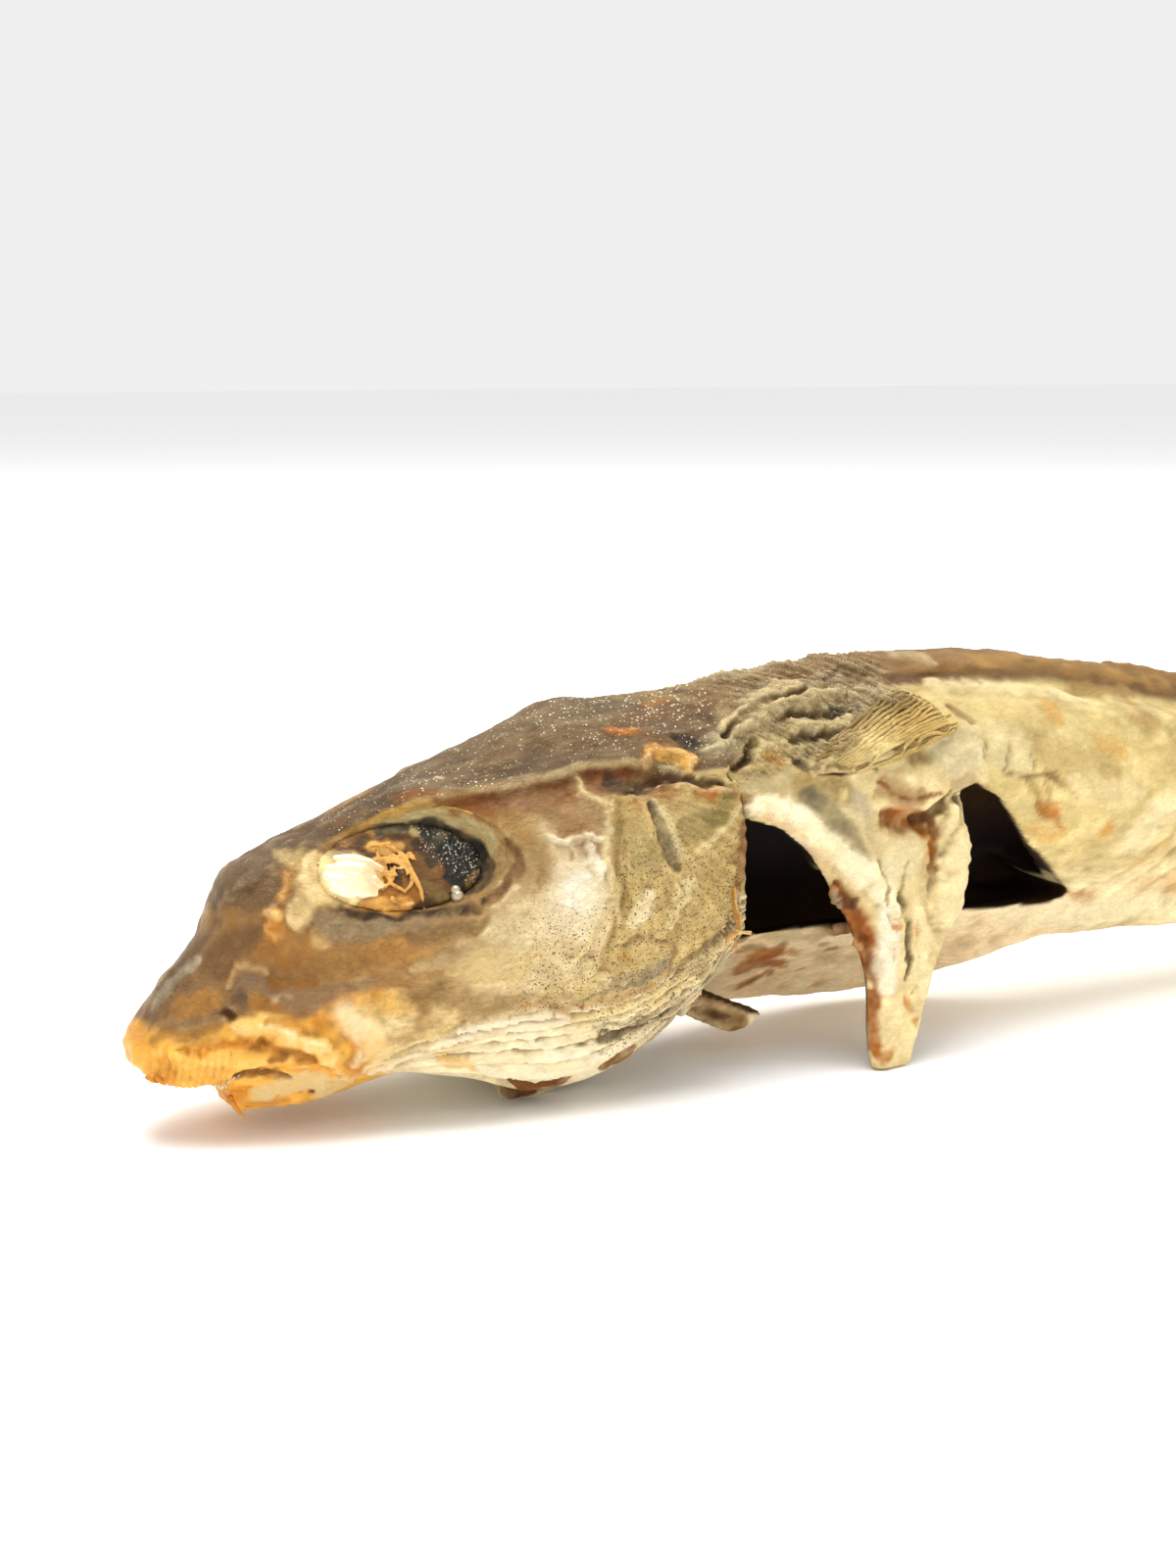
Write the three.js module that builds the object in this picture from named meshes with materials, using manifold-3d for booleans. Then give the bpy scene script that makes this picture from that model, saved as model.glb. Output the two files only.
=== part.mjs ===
// Dried stockfish: a small whole cod, gutted through the left side and air-dried.
// Millimetres, +Z up, snout towards -X, tail towards +X, left flank towards -Y.
// Lengths along the fish are counted from the snout tip while it is being shaped.
import * as THREE from 'three';
import { ParametricGeometry } from 'three/addons/geometries/ParametricGeometry.js';
import { mergeVertices } from 'three/addons/utils/BufferGeometryUtils.js';
import Module from 'manifold-3d';

const HEAD_LENGTH = 88.4;
const BODY_LENGTH = 330;
const TAIL_FIN_LENGTH = 30;
const TAIL_FIN_HEIGHT = 23;
const FLANK_WALL = 2.4;
const GILL_COVER_WALL = 2.1;
const GUT_START = 72;
const GUT_END = 166;
const GUT_ROOF = 47;
const EYE_LENGTH = 31.5;
const EYE_HEIGHT = 16;
const EYE_DEPTH = 13;
const EYE_SINK = 2.8;
const EYE_GAP = 0.35;
const LEG_TOP = 47;

const wasm = await Module();
wasm.setup();

// Smooth curve through a few [place along the fish, value] knots.
function guide(...knots) {
  const places = knots.map((k) => k[0]);
  const values = knots.map((k) => k[1]);
  const curve = new THREE.CubicInterpolant(places, values, 1);
  return (x) => curve.evaluate(THREE.MathUtils.clamp(x, places[0], places.at(-1)))[0];
}

// Height of a soft bump that follows a polyline drawn on the side of the fish.
function along(path, width) {
  const lines = path.slice(1).map((p, i) => new THREE.Line3(
    new THREE.Vector3(path[i][0], 0, path[i][1]),
    new THREE.Vector3(p[0], 0, p[1]),
  ));
  const near = new THREE.Vector3();
  return (x, z) => {
    const spot = new THREE.Vector3(x, 0, z);
    const gaps = lines.map((l) => l.closestPointToPoint(spot, true, near).distanceTo(spot));
    return Math.exp(-((Math.min(...gaps) / width) ** 2));
  };
}

// Closed manifold body of a geometry, with the seam and the poles welded.
function bodyOf(geometry) {
  geometry.deleteAttribute('normal');
  geometry.deleteAttribute('uv');
  const welded = mergeVertices(geometry, 1e-4);
  const faces = [];
  const index = welded.index.array;
  for (let i = 0; i < index.length; i += 3) {
    const [a, b, c] = index.slice(i, i + 3);
    if (a !== b && b !== c && c !== a) faces.push(a, b, c);
  }
  const made = () => new wasm.Manifold(new wasm.Mesh({
    numProp: 3,
    vertProperties: new Float32Array(welded.attributes.position.array),
    triVerts: new Uint32Array(faces),
  }));
  if (made().volume() < 0) faces.reverse();
  const body = made();
  return body;
}

// Loft of closed sections. ring(x) gives the section's [y, z] corners, swell(s) its
// size from 0 at a pole to 1, and relief(x, y, z) pushes the skin out or in.
function loft({ from, to, ring, around, rows, swell = () => 1, relief = () => 0 }) {
  const stops = [from, ...rows(from, to), to];
  const point = (u, v, target) => {
    const row = Math.round(v * (stops.length - 1));
    const x = stops[row];
    const corners = ring(x).map(([y, z]) => new THREE.Vector3(0, y, z));
    const middle = corners.reduce((sum, c) => sum.add(c), new THREE.Vector3());
    middle.divideScalar(corners.length);
    const skin = new THREE.CatmullRomCurve3(corners, true, 'centripetal');
    const spot = skin.getPoint(u === 1 ? 0 : u);
    const outward = spot.clone().sub(middle);
    const pole = row === 0 || row === stops.length - 1;
    const size = pole ? 0 : swell(x);
    const push = pole ? 0 : relief(x, spot.y, spot.z);
    spot.copy(middle).addScaledVector(outward, size);
    spot.addScaledVector(outward.normalize(), push);
    target.set(x, spot.y, spot.z);
  };
  return bodyOf(new ParametricGeometry(point, around, stops.length - 1));
}

const evenRows = (step) => (from, to) => {
  const count = Math.round((to - from) / step);
  return Array.from({ length: count + 1 }, (_, i) => from + ((to - from) * i) / count);
};

// Ring drawn in from its own middle by a wall thickness.
function inset(ring, wall) {
  const midY = ring.reduce((s, p) => s + p[0], 0) / ring.length;
  const midZ = ring.reduce((s, p) => s + p[1], 0) / ring.length;
  return ring.map(([y, z]) => {
    const reach = Math.hypot(y - midY, z - midZ);
    const keep = Math.max(0.2, 1 - wall / reach);
    return [midY + (y - midY) * keep, midZ + (z - midZ) * keep];
  });
}

// Flat outline in the side view, given thickness from one depth to another.
function slab(outline, yNear, yFar) {
  const shape = new THREE.Shape(outline.map(([x, z]) => new THREE.Vector2(x, z)));
  const plate = new THREE.ExtrudeGeometry(shape, { depth: yFar - yNear, bevelEnabled: false });
  plate.rotateX(Math.PI / 2);
  plate.translate(0, yFar, 0);
  return bodyOf(plate);
}

// Ellipsoid with its long axis lying in the cheek.
function pod(size, at, yaw, roll) {
  const ball = new THREE.SphereGeometry(0.5, 24, 12);
  ball.scale(...size);
  ball.rotateX(roll);
  ball.rotateZ(yaw);
  ball.translate(...at);
  return bodyOf(ball);
}

// Head guides: the forehead crest, the ridge over the eye, the temple, the cheek,
// the jaw line, the throat corner and the throat keel.
const crestZ = guide([0, 17], [5, 22.6], [10.5, 28.3], [14, 36.3], [20, 40.2],
  [31, 44.4], [50, 52.2], [59, 55.8], [66, 58.8], [77, 58], [90, 59.4]);
const browY = guide([0, 2.5], [14, 4.6], [30, 8.5], [48, 11.5], [75, 13.5], [90, 12.5]);
const browDrop = guide([0, 1], [14, 1.6], [30, 2.6], [40, 3], [48, 4.3], [61, 7], [75, 7.6], [90, 7.2]);
const browTilt = guide([0, 0], [14, 0.6], [30, 1.9], [40, 3], [50, 1.4], [61, 0.3], [90, 0]);
const templeY = guide([0, 4.4], [14, 8], [30, 12.6], [50, 17], [66, 18.6], [90, 19]);
const templeZ = guide([0, 16.5], [10, 23], [16, 31], [30, 37.5], [50, 44.4], [62, 46.4], [78, 47.6], [90, 45.4]);
const cheekY = guide([0, 6], [8, 9.5], [20, 13.6], [36, 18], [52, 21.3], [70, 23.2], [90, 20.8]);
const cheekZ = guide([0, 14.2], [14, 17], [30, 22.5], [50, 29.5], [70, 33], [90, 35]);
const jawY = guide([0, 5.6], [8, 9], [20, 13.2], [36, 17], [52, 19.6], [66, 20.6], [80, 20.4], [90, 20.6]);
const jawZ = guide([0, 11.4], [14, 11.4], [36, 13.8], [60, 14.5], [74, 17], [90, 27]);
const throatY = guide([0, 4], [8, 7], [20, 10.5], [36, 12.6], [60, 14], [78, 14.5], [88, 15]);
const throatZ = guide([0, 9.4], [4, 8.2], [24, 8.4], [36, 8.6], [47, 6.2], [59, 3.2],
  [70, 5], [80, 11], [90, 21]);
const keelDrop = guide([0, 0], [30, 0.3], [60, 0.8], [90, 2]);

function headRing(x) {
  const left = [
    [browY(x), crestZ(x) - browDrop(x)],
    [templeY(x), templeZ(x)],
    [cheekY(x), cheekZ(x)],
    [jawY(x), jawZ(x)],
    [throatY(x), throatZ(x)],
  ];
  const right = left.map(([y, z], i) => [-y, i === 0 ? z + browTilt(x) : z]).reverse();
  return [[0, crestZ(x)], ...left, [0, throatZ(x) - keelDrop(x)], ...right];
}

// Creases and ribs of the head skin, drawn once and used on both sides.
const headRelief = [
  [1.0, along([[19, 34], [27, 28.5], [40, 26.5], [52, 28.5], [58, 37], [54, 45]], 2.6)],
  [-0.6, along([[24, 24], [40, 21.5], [54, 24]], 2.4)],
  [0.7, along([[5, 14.5], [14, 14.5], [22, 13.2], [30, 11.5]], 1.9)],
  [-0.7, along([[62, 47], [66, 39], [66, 29], [61, 21], [50, 15.5]], 2.2)],
  [0.6, along([[70, 46], [72, 34], [77, 24], [82, 20]], 2.6)],
  [-0.8, along([[73, 49], [76, 42], [79, 37]], 2.0)],
  [-0.6, along([[24, 9.8], [38, 12], [52, 12.5], [66, 13], [78, 18]], 1.5)],
  [-0.5, along([[46, 7.2], [60, 5.6], [72, 8], [82, 14]], 1.4)],
  [0.9, along([[17, 32], [19, 31]], 2.0)],
  [1.5, along([[75, 52.5], [82, 51.5]], 3.0)],
];
const folded = (list) => (x, y, z) => list.reduce((sum, [high, near]) => sum + high * near(x, z), 0);

const head = loft({
  from: -0.4,
  to: HEAD_LENGTH,
  ring: headRing,
  around: 48,
  rows: (from, to) => [
    ...[0.1, 0.9, 2.2, 4, 6.2, 8.6].map((x) => from + x),
    ...evenRows(2.6)(10.8, to),
  ],
  swell: (x) => (x > 7 ? 1 : 0.18 + 0.82 * Math.sqrt(1 - (1 - (x + 0.4) / 7.4) ** 2)),
  relief: folded(headRelief),
});

// Trunk guides: the back, the belly keel and how far it sags to the right.
const backZ = guide([70, 58.3], [88, 59.2], [104, 61.6], [136, 62.4], [158, 60], [186, 54.5],
  [220, 46.5], [260, 35.5], [300, 24], [330, 16.5]);
const bellyZ = guide([70, 8], [90, 5], [106, 3.4], [128, 1.6], [142, 3.8], [158, 9.4],
  [186, 9.6], [240, 7], [290, 5.4], [330, 5.8]);
const bellyY = guide([70, 2], [90, 9], [104, 12], [136, 11.5], [156, 3], [172, 0], [330, 0]);
const flankY = guide([70, 16], [92, 16.4], [112, 18.2], [134, 18.4], [158, 16.6], [186, 13.6],
  [220, 10.6], [260, 7.8], [300, 4.8], [330, 2.9]);
const ridgeDrop = guide([70, 3], [104, 3.2], [150, 4.6], [200, 4.4], [260, 3], [330, 2]);

function trunkRing(x) {
  const tall = backZ(x) - bellyZ(x);
  const wide = flankY(x);
  const sag = bellyY(x);
  const at = (part) => bellyZ(x) + tall * part;
  return [
    [0, backZ(x)],
    [wide * 0.36, backZ(x) - ridgeDrop(x)],
    [wide * 0.78, at(0.84)],
    [wide, at(0.62)],
    [wide * 0.98, at(0.4)],
    [Math.max(wide * 0.72, sag + wide * 0.3), at(0.16)],
    [sag, bellyZ(x)],
    [sag * 0.55 - wide * 0.4, at(0.2)],
    [sag * 0.3 - wide * 0.92, at(0.42)],
    [-wide, at(0.64)],
    [-wide * 0.8, at(0.84)],
    [-wide * 0.4, backZ(x) - ridgeDrop(x)],
  ];
}

// Dried flank: shallow hollows between the muscle folds and a line under the back.
const trunkRelief = (x, y, z) => {
  const part = (z - bellyZ(x)) / (backZ(x) - bellyZ(x));
  const fade = THREE.MathUtils.smoothstep(x, 96, 118) * (1 - THREE.MathUtils.smoothstep(x, 270, 320));
  const waves = 0.5 * Math.sin(x * 0.21 + z * 0.16) + 0.35 * Math.sin(x * 0.37 - z * 0.2 + 1);
  const groove = -0.8 * Math.exp(-(((part - 0.9) / 0.035) ** 2));
  return fade * (waves * Math.sin(Math.PI * THREE.MathUtils.clamp(part, 0, 1)) + groove);
};

const trunk = loft({
  from: GUT_START - 2,
  to: BODY_LENGTH,
  ring: trunkRing,
  around: 36,
  rows: (from, to) => [...evenRows(5)(from, 190), ...evenRows(9)(198, to)],
  relief: trunkRelief,
});

// Hollow of the gill chamber and the gutted belly.
const gillHollow = loft({
  from: 54,
  to: HEAD_LENGTH + 1.6,
  ring: (x) => inset(headRing(x), GILL_COVER_WALL).map(([y, z]) => [y, THREE.MathUtils.clamp(z, 13, 46)]),
  around: 24,
  rows: (from, to) => evenRows(5)(from, to),
  swell: (x) => Math.sqrt(1 - (1 - THREE.MathUtils.clamp((x - 53.5) / 18, 0, 1)) ** 2),
});
const gutHollow = loft({
  from: GUT_START,
  to: GUT_END,
  ring: (x) => inset(trunkRing(x), FLANK_WALL + 0.2)
    .map(([y, z]) => [y, THREE.MathUtils.clamp(z, bellyZ(x) + 5, GUT_ROOF)]),
  around: 24,
  rows: (from, to) => evenRows(7)(from, to),
  swell: (x) => Math.sqrt(1 - THREE.MathUtils.clamp((x - 140) / 27, 0, 1) ** 2),
});

// The open left side: from the gill cover back to where the belly closes.
const sideOpening = slab([
  [84, 20], [86, 42.5], [90, 41.2], [97.2, 38.9], [101.6, 35.4], [106, 30.5], [112, 34],
  [124, 41], [132.5, 43], [137, 40.5], [141, 36], [146, 31], [152.5, 26.4],
  [159.5, 22], [163, 19], [157, 18.2], [134, 19.6], [108, 19.8], [92, 18.6],
], -40, 10.5);

// Shoulder bone hanging down from the left flank to the floor.
const legFront = guide([0, 111.4], [5, 110.4], [15, 110.2], [23, 108], [31, 104], [38, 100], [46, 97]);
const legRear = guide([0, 117.6], [5, 119.6], [15, 123], [23, 127.4], [30, 130.4], [36, 131.4], [46, 130.6]);
const legY = guide([0, -21.4], [16, -20.4], [30, -17.4], [38, -16.3], [48, -14.4]);
const legThick = guide([0, 3.4], [16, 4.4], [30, 4.6], [48, 4]);

function legPoint(u, v, target) {
  const pole = v === 0 || v === 1;
  const z = THREE.MathUtils.clamp((v * 14 - 1) / 12, 0, 1) * LEG_TOP;
  const turn = (u % 1) * Math.PI * 2;
  const across = (legRear(z) - legFront(z)) / 2;
  const lift = pole ? 0 : 1;
  const dip = 1.1 * Math.exp(-(((Math.cos(turn) - 0.25) / 0.22) ** 2)) * (Math.sin(turn) < 0 ? 1 : 0);
  const rim = Math.sign(Math.cos(turn)) * Math.abs(Math.cos(turn)) ** 0.8;
  target.set(
    (legFront(z) + legRear(z)) / 2 + across * rim * lift,
    legY(z) + (Math.sin(turn) * (legThick(z) / 2) + dip) * lift,
    z,
  );
}

const leg = bodyOf(new ParametricGeometry(legPoint, 20, 14));

// Lower jaw, shorter than the lip above it.
const chinZ = guide([12, 4.2], [15, 3.4], [22, 3.5], [31, 5.4], [42, 7.8], [48, 8]);
const biteZ = guide([12, 6.4], [16, 8], [22, 9.4], [48, 11]);
const lowerJaw = loft({
  from: 12.2,
  to: 48,
  ring: (x) => {
    const half = throatY(x) + 0.4;
    const left = [[half * 0.6, biteZ(x)], [half, biteZ(x) - 0.8], [half * 0.72, chinZ(x) + 0.7]];
    const right = left.map(([y, z]) => [-y, z]).reverse();
    return [...left, [0, chinZ(x)], ...right];
  },
  around: 21,
  rows: (from, to) => [12.25, 13, ...evenRows(4)(14.4, to)],
  swell: (x) => (x > 16.2 ? 1 : 0.42 + 0.58 * Math.sqrt(1 - ((16.2 - x) / 4.1) ** 2)),
});
const mouthHollow = pod([13, 11, 5.4], [8.2, 0, 8.6], 0, 0);

// Sunken sockets and the dried eyes that lie in them.
const eyeAt = { '-1': [35.7, -15.2, 40.1], 1: [36.2, 14.6, 38.4] };
const eyeYaw = THREE.MathUtils.degToRad(14);
const eyeRoll = THREE.MathUtils.degToRad(32);

function eyePod(side, shrink) {
  const size = [EYE_LENGTH, EYE_DEPTH, EYE_HEIGHT].map((s) => s - shrink * 2);
  return pod(size, eyeAt[side], side * eyeYaw, side * eyeRoll);
}

function eyeFill(side) {
  const skin = pod([EYE_LENGTH + 8, EYE_DEPTH, EYE_HEIGHT + 10], [0, 0, 0], side * eyeYaw, side * eyeRoll);
  const sunk = new THREE.Vector3(0, -side * (EYE_SINK + EYE_DEPTH / 2), 0);
  sunk.applyAxisAngle(new THREE.Vector3(1, 0, 0), side * eyeRoll);
  sunk.applyAxisAngle(new THREE.Vector3(0, 0, 1), side * eyeYaw);
  sunk.add(new THREE.Vector3(...eyeAt[side]));
  return eyePod(side, EYE_GAP).intersect(skin.translate(sunk.toArray()));
}

// Fin laid against a flank: an outline in the side view, as thick as a few rays.
function flankSide(x, z, side) {
  const corners = trunkRing(x).map(([y, h]) => new THREE.Vector3(0, y, h));
  const skin = new THREE.CatmullRomCurve3(corners, true, 'centripetal').getPoints(96);
  const same = skin.filter((p) => p.y * side > 0);
  same.sort((a, b) => Math.abs(a.z - z) - Math.abs(b.z - z));
  return same[0].y;
}

// Fan of rays: root line and tip line joined, thickened across the fish.
function fan({ root, tip, thickness, depthAt, rays }) {
  const at = (line, s) => {
    const curve = new THREE.CatmullRomCurve3(line.map(([x, z]) => new THREE.Vector3(x, 0, z)));
    return curve.getPoint(s);
  };
  const point = (u, v, target) => {
    const turn = u * 2;
    const face = turn < 1 ? -1 : 1;
    const s = turn < 1 ? turn : 2 - turn;
    const reach = THREE.MathUtils.clamp((v * 5 - 1) / 3, 0, 1);
    const pole = v === 0 || v === 1;
    const from = at(root, pole ? 0.5 : s);
    const spot = from.lerp(at(tip, pole ? 0.5 : s), reach);
    const edge = s < 0.001 || s > 0.999 || pole ? 0 : 1;
    const pleat = 0.25 * Math.cos(s * Math.PI * 2 * rays);
    const y = depthAt(spot.x, spot.z) + face * edge * (thickness / 2) + pleat * edge;
    target.set(spot.x, y, spot.z);
  };
  return bodyOf(new ParametricGeometry(point, 24, 5));
}

const pectoralRoot = [[101, 46.5], [104.5, 47.2], [108, 46.6]];
const pectoralTip = [[114.5, 58.4], [121.5, 57.6], [127, 55], [128.6, 51.5]];
const pectoral = (side) => fan({
  root: pectoralRoot,
  tip: pectoralTip,
  thickness: 1.8,
  depthAt: (x, z) => flankSide(x, z, side) + side * 1.1,
  rays: 7,
});
const foldedFin = (from, to, rise, lean) => fan({
  root: [[from, backZ(from) - 2.4], [(from + to) / 2, backZ((from + to) / 2) - 2.4], [to, backZ(to) - 2.4]],
  tip: [[from + 4, backZ(from + 4) + rise * 0.6], [(from + to) / 2 + 3, backZ((from + to) / 2 + 3) + rise],
    [to + 6, backZ(to + 6) + rise * 0.3]],
  thickness: 1.8,
  depthAt: (x, z) => lean * (z - backZ(x) + 2.4),
  rays: 6,
});
const bellyFin = (from, to, drop) => fan({
  root: [[from, bellyZ(from) + 2.4], [(from + to) / 2, bellyZ((from + to) / 2) + 2.4], [to, bellyZ(to) + 2.4]],
  tip: [[from + 5, bellyZ(from + 5) - drop * 0.5], [(from + to) / 2 + 4, bellyZ((from + to) / 2 + 4) - drop],
    [to + 6, bellyZ(to + 6) - drop * 0.4]],
  thickness: 1.8,
  depthAt: () => 0,
  rays: 6,
});
const tailMid = (backZ(BODY_LENGTH) + bellyZ(BODY_LENGTH)) / 2;
const tailFin = fan({
  root: [[BODY_LENGTH - 6, tailMid - 3.6], [BODY_LENGTH - 4, tailMid], [BODY_LENGTH - 6, tailMid + 3.6]],
  tip: [
    [BODY_LENGTH + TAIL_FIN_LENGTH - 6, 0],
    [BODY_LENGTH + TAIL_FIN_LENGTH - 8, TAIL_FIN_HEIGHT / 2],
    [BODY_LENGTH + TAIL_FIN_LENGTH - 6, TAIL_FIN_HEIGHT],
  ],
  thickness: 2.2,
  depthAt: (x) => 0.06 * (x - BODY_LENGTH),
  rays: 9,
});

// Torn skin scraps under the throat.
const scrap = (y) => fan({
  root: [[51, 5.5], [58, 4.6], [66, 5.6]],
  tip: [[54, 0.4], [59, 0], [67.5, 2]],
  thickness: 2.2,
  depthAt: () => y,
  rays: 3,
});
const curl = fan({
  root: [[78, 12], [80.5, 13.4], [82, 15.5]],
  tip: [[95, 3.6], [98.5, 4.2], [101.5, 6.4]],
  thickness: 2,
  depthAt: (x) => -4 - 0.05 * (x - 90),
  rays: 2,
});

// Everything grown together, then hollowed and opened.
const fish = head
  .add(trunk.subtract(sideOpening))
  .subtract(gillHollow)
  .subtract(gutHollow)
  .add(scrap(-8))
  .add(scrap(9))
  .add(curl)
  .subtract(mouthHollow)
  .add(lowerJaw)
  .add(leg)
  .subtract(eyePod(-1, 0))
  .subtract(eyePod(1, 0))
  .add(pectoral(-1))
  .add(pectoral(1))
  .add(foldedFin(168, 214, 1.2, 0.3))
  .add(foldedFin(232, 276, 2, 0.3))
  .add(bellyFin(196, 232, 3.4))
  .add(bellyFin(246, 280, 2.6))
  .add(tailFin)
  .simplify(0.05);

const SKIN = new THREE.MeshStandardMaterial({ color: 0xc9ad7c, roughness: 0.55, metalness: 0 });
const EYE = new THREE.MeshStandardMaterial({ color: 0x4a3a28, roughness: 0.25, metalness: 0 });

const stockfish = new THREE.Group();
stockfish.name = 'dried_stockfish';

// The fish stands over the origin: middle of its length and width, floor at zero.
const bounds = fish.boundingBox();
const home = [0, 1].map((i) => -(bounds.min[i] + bounds.max[i]) / 2).concat(-bounds.min[2]);

function addPiece(name, body, material) {
  const raw = body.translate(home).getMesh();
  const geometry = new THREE.BufferGeometry();
  geometry.setAttribute('position', new THREE.BufferAttribute(raw.vertProperties, 3));
  geometry.setIndex(new THREE.BufferAttribute(raw.triVerts, 1));
  geometry.computeVertexNormals();
  const mesh = new THREE.Mesh(geometry, material);
  mesh.name = name;
  stockfish.add(mesh);
}

addPiece('stockfish', fish, SKIN);
addPiece('eye_left', eyeFill(-1), EYE);
addPiece('eye_right', eyeFill(1), EYE);

export default stockfish;
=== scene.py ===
import itertools
import math

import bmesh
import bpy
import numpy as np
from mathutils import Matrix, Vector
from mathutils.bvhtree import BVHTree


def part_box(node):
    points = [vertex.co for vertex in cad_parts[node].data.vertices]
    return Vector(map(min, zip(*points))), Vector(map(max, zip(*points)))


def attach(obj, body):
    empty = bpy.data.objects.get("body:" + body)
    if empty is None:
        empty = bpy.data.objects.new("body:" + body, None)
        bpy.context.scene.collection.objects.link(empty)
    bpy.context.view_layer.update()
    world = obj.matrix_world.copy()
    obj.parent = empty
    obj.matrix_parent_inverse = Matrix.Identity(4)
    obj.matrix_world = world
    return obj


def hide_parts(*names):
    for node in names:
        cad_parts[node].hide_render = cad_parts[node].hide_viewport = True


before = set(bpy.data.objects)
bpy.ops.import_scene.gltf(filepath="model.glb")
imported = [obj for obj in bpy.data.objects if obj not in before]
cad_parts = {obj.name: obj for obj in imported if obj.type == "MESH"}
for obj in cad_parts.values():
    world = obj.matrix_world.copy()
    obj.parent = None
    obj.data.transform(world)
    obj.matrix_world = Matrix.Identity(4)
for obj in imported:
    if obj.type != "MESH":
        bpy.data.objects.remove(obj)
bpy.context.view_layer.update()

# ---- The dried body -----------------------------------------------------------------------------
# A small cod, gutted through the left side and hung until it was hard. Skin, skull and
# flesh have dried into one piece, so it is one closed surface that follows the solid.
# Places on it are in millimetres: x back from the nose, y (minus is left), z up.
MM = 0.001
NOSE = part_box("stockfish")[0].x + 0.4 * MM
SURFACE_GRID = 0.74 * MM
FACET_SMOOTHING = 42


def at(x, y, z):
    """A place on the fish, in metres."""
    return Vector((NOSE + x * MM, y * MM, z * MM))


def numbers(data, name, width, kind=float):
    """One property of every element of a mesh collection, as rows."""
    flat = np.zeros(len(data) * width, kind)
    data.foreach_get(name, flat)
    return flat.reshape(-1, width) if width > 1 else flat


def places(mesh):
    """Every vertex of a mesh in millimetres on the fish."""
    return (numbers(mesh.vertices, "co", 3) - np.array([NOSE, 0, 0])) / MM


def neighbour_mean(values, mesh):
    """The mean of each vertex's neighbours."""
    ends = numbers(mesh.edges, "vertices", 2, np.int32)
    ends = np.concatenate([ends, ends[:, ::-1]])
    rows = values.reshape(len(values), -1)
    count = np.bincount(ends[:, 0], minlength=len(rows))
    mean = [np.bincount(ends[:, 0], column[ends[:, 1]], len(rows)) / count for column in rows.T]
    return np.stack(mean, 1).reshape(values.shape)


def relax(mesh, rounds):
    """Takes facets out of a surface without shrinking it: a pull in, then a push out."""
    points = numbers(mesh.vertices, "co", 3)
    pull, push = 0.5, -0.53
    for amount in [pull, push] * rounds:
        points = points + amount * (neighbour_mean(points, mesh) - points)
    mesh.vertices.foreach_set("co", points.ravel())
    mesh.update()


def grain(points, size, seed):
    """Smooth random hills about size millimetres apart, from -1 to 1. The random numbers stand
    in a cube of cells that repeats every 64 hills."""
    cells = 64
    table = np.random.default_rng(seed).uniform(-1, 1, (cells, cells, cells))
    cell = points / size + 31.7
    low = np.floor(cell).astype(int)
    part = cell - low
    part = part * part * (3 - 2 * part)
    value = np.zeros(len(points))
    for corner in itertools.product((0, 1), repeat=3):
        share = np.prod(np.where(corner, part, 1 - part), axis=1)
        value += share * table[tuple(((low + corner) % cells).T)]
    return value


def smooth(low, high, value):
    """0 below low, 1 above high, and a soft slope between."""
    t = np.clip((value - low) / (high - low), 0, 1)
    return t * t * (3 - 2 * t)


def linear(code):
    """An sRGB hex colour as linear red, green and blue."""
    srgb = np.array([int(code[i:i + 2], 16) for i in (1, 3, 5)]) / 255
    return np.where(srgb <= 0.04045, srgb / 12.92, ((srgb + 0.055) / 1.055) ** 2.4)


def new_piece(name, mesh):
    """A finished mesh as an object of its own at the origin."""
    piece = bpy.data.objects.new(name, mesh)
    bpy.context.scene.collection.objects.link(piece)
    return piece


def wrap(piece, size, rounds):
    """Covers a piece with one even closed skin, free of facets."""
    cover = piece.modifiers.new("skin", "REMESH")
    cover.mode = "VOXEL"
    cover.voxel_size = size
    seen = piece.evaluated_get(bpy.context.evaluated_depsgraph_get())
    piece.data = bpy.data.meshes.new_from_object(seen)
    piece.modifiers.clear()
    piece.data.materials.clear()
    relax(piece.data, rounds)


def over_solid(name, node, size, rounds, torn=None):
    """A skin over a merged copy of one of the solids, with a torn bit taken out of it."""
    piece = new_piece(name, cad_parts[node].data.copy())
    work = bmesh.new()
    work.from_mesh(piece.data)
    bmesh.ops.remove_doubles(work, verts=work.verts, dist=0.001 * MM)
    work.to_mesh(piece.data)
    work.free()
    if torn:
        cut = piece.modifiers.new("tear", "BOOLEAN")
        cut.object = torn
    wrap(piece, size, rounds)
    return piece


HOLLOW_START = 72.0
HOLLOW_END = 168.0
HOLLOW_MIDDLE = 27.0


def lining(points, normals):
    """How much of each point belongs to the wall of the gutted belly and gill chamber. That wall
    faces the hollow's middle line, and at its rear end the nose."""
    inward = -(normals[:, 1] * points[:, 1] + normals[:, 2] * (points[:, 2] - HOLLOW_MIDDLE))
    reach = np.hypot(points[:, 1], points[:, 2] - HOLLOW_MIDDLE)
    inward += smooth(138, 150, points[:, 0]) * np.clip(-normals[:, 0], 0, 1) * reach
    in_length = smooth(HOLLOW_START - 3, HOLLOW_START + 3, points[:, 0])
    in_length *= 1 - smooth(HOLLOW_END - 3, HOLLOW_END + 3, points[:, 0])
    return in_length * smooth(-0.15, 0.25, inward / np.maximum(reach, 1))


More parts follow.
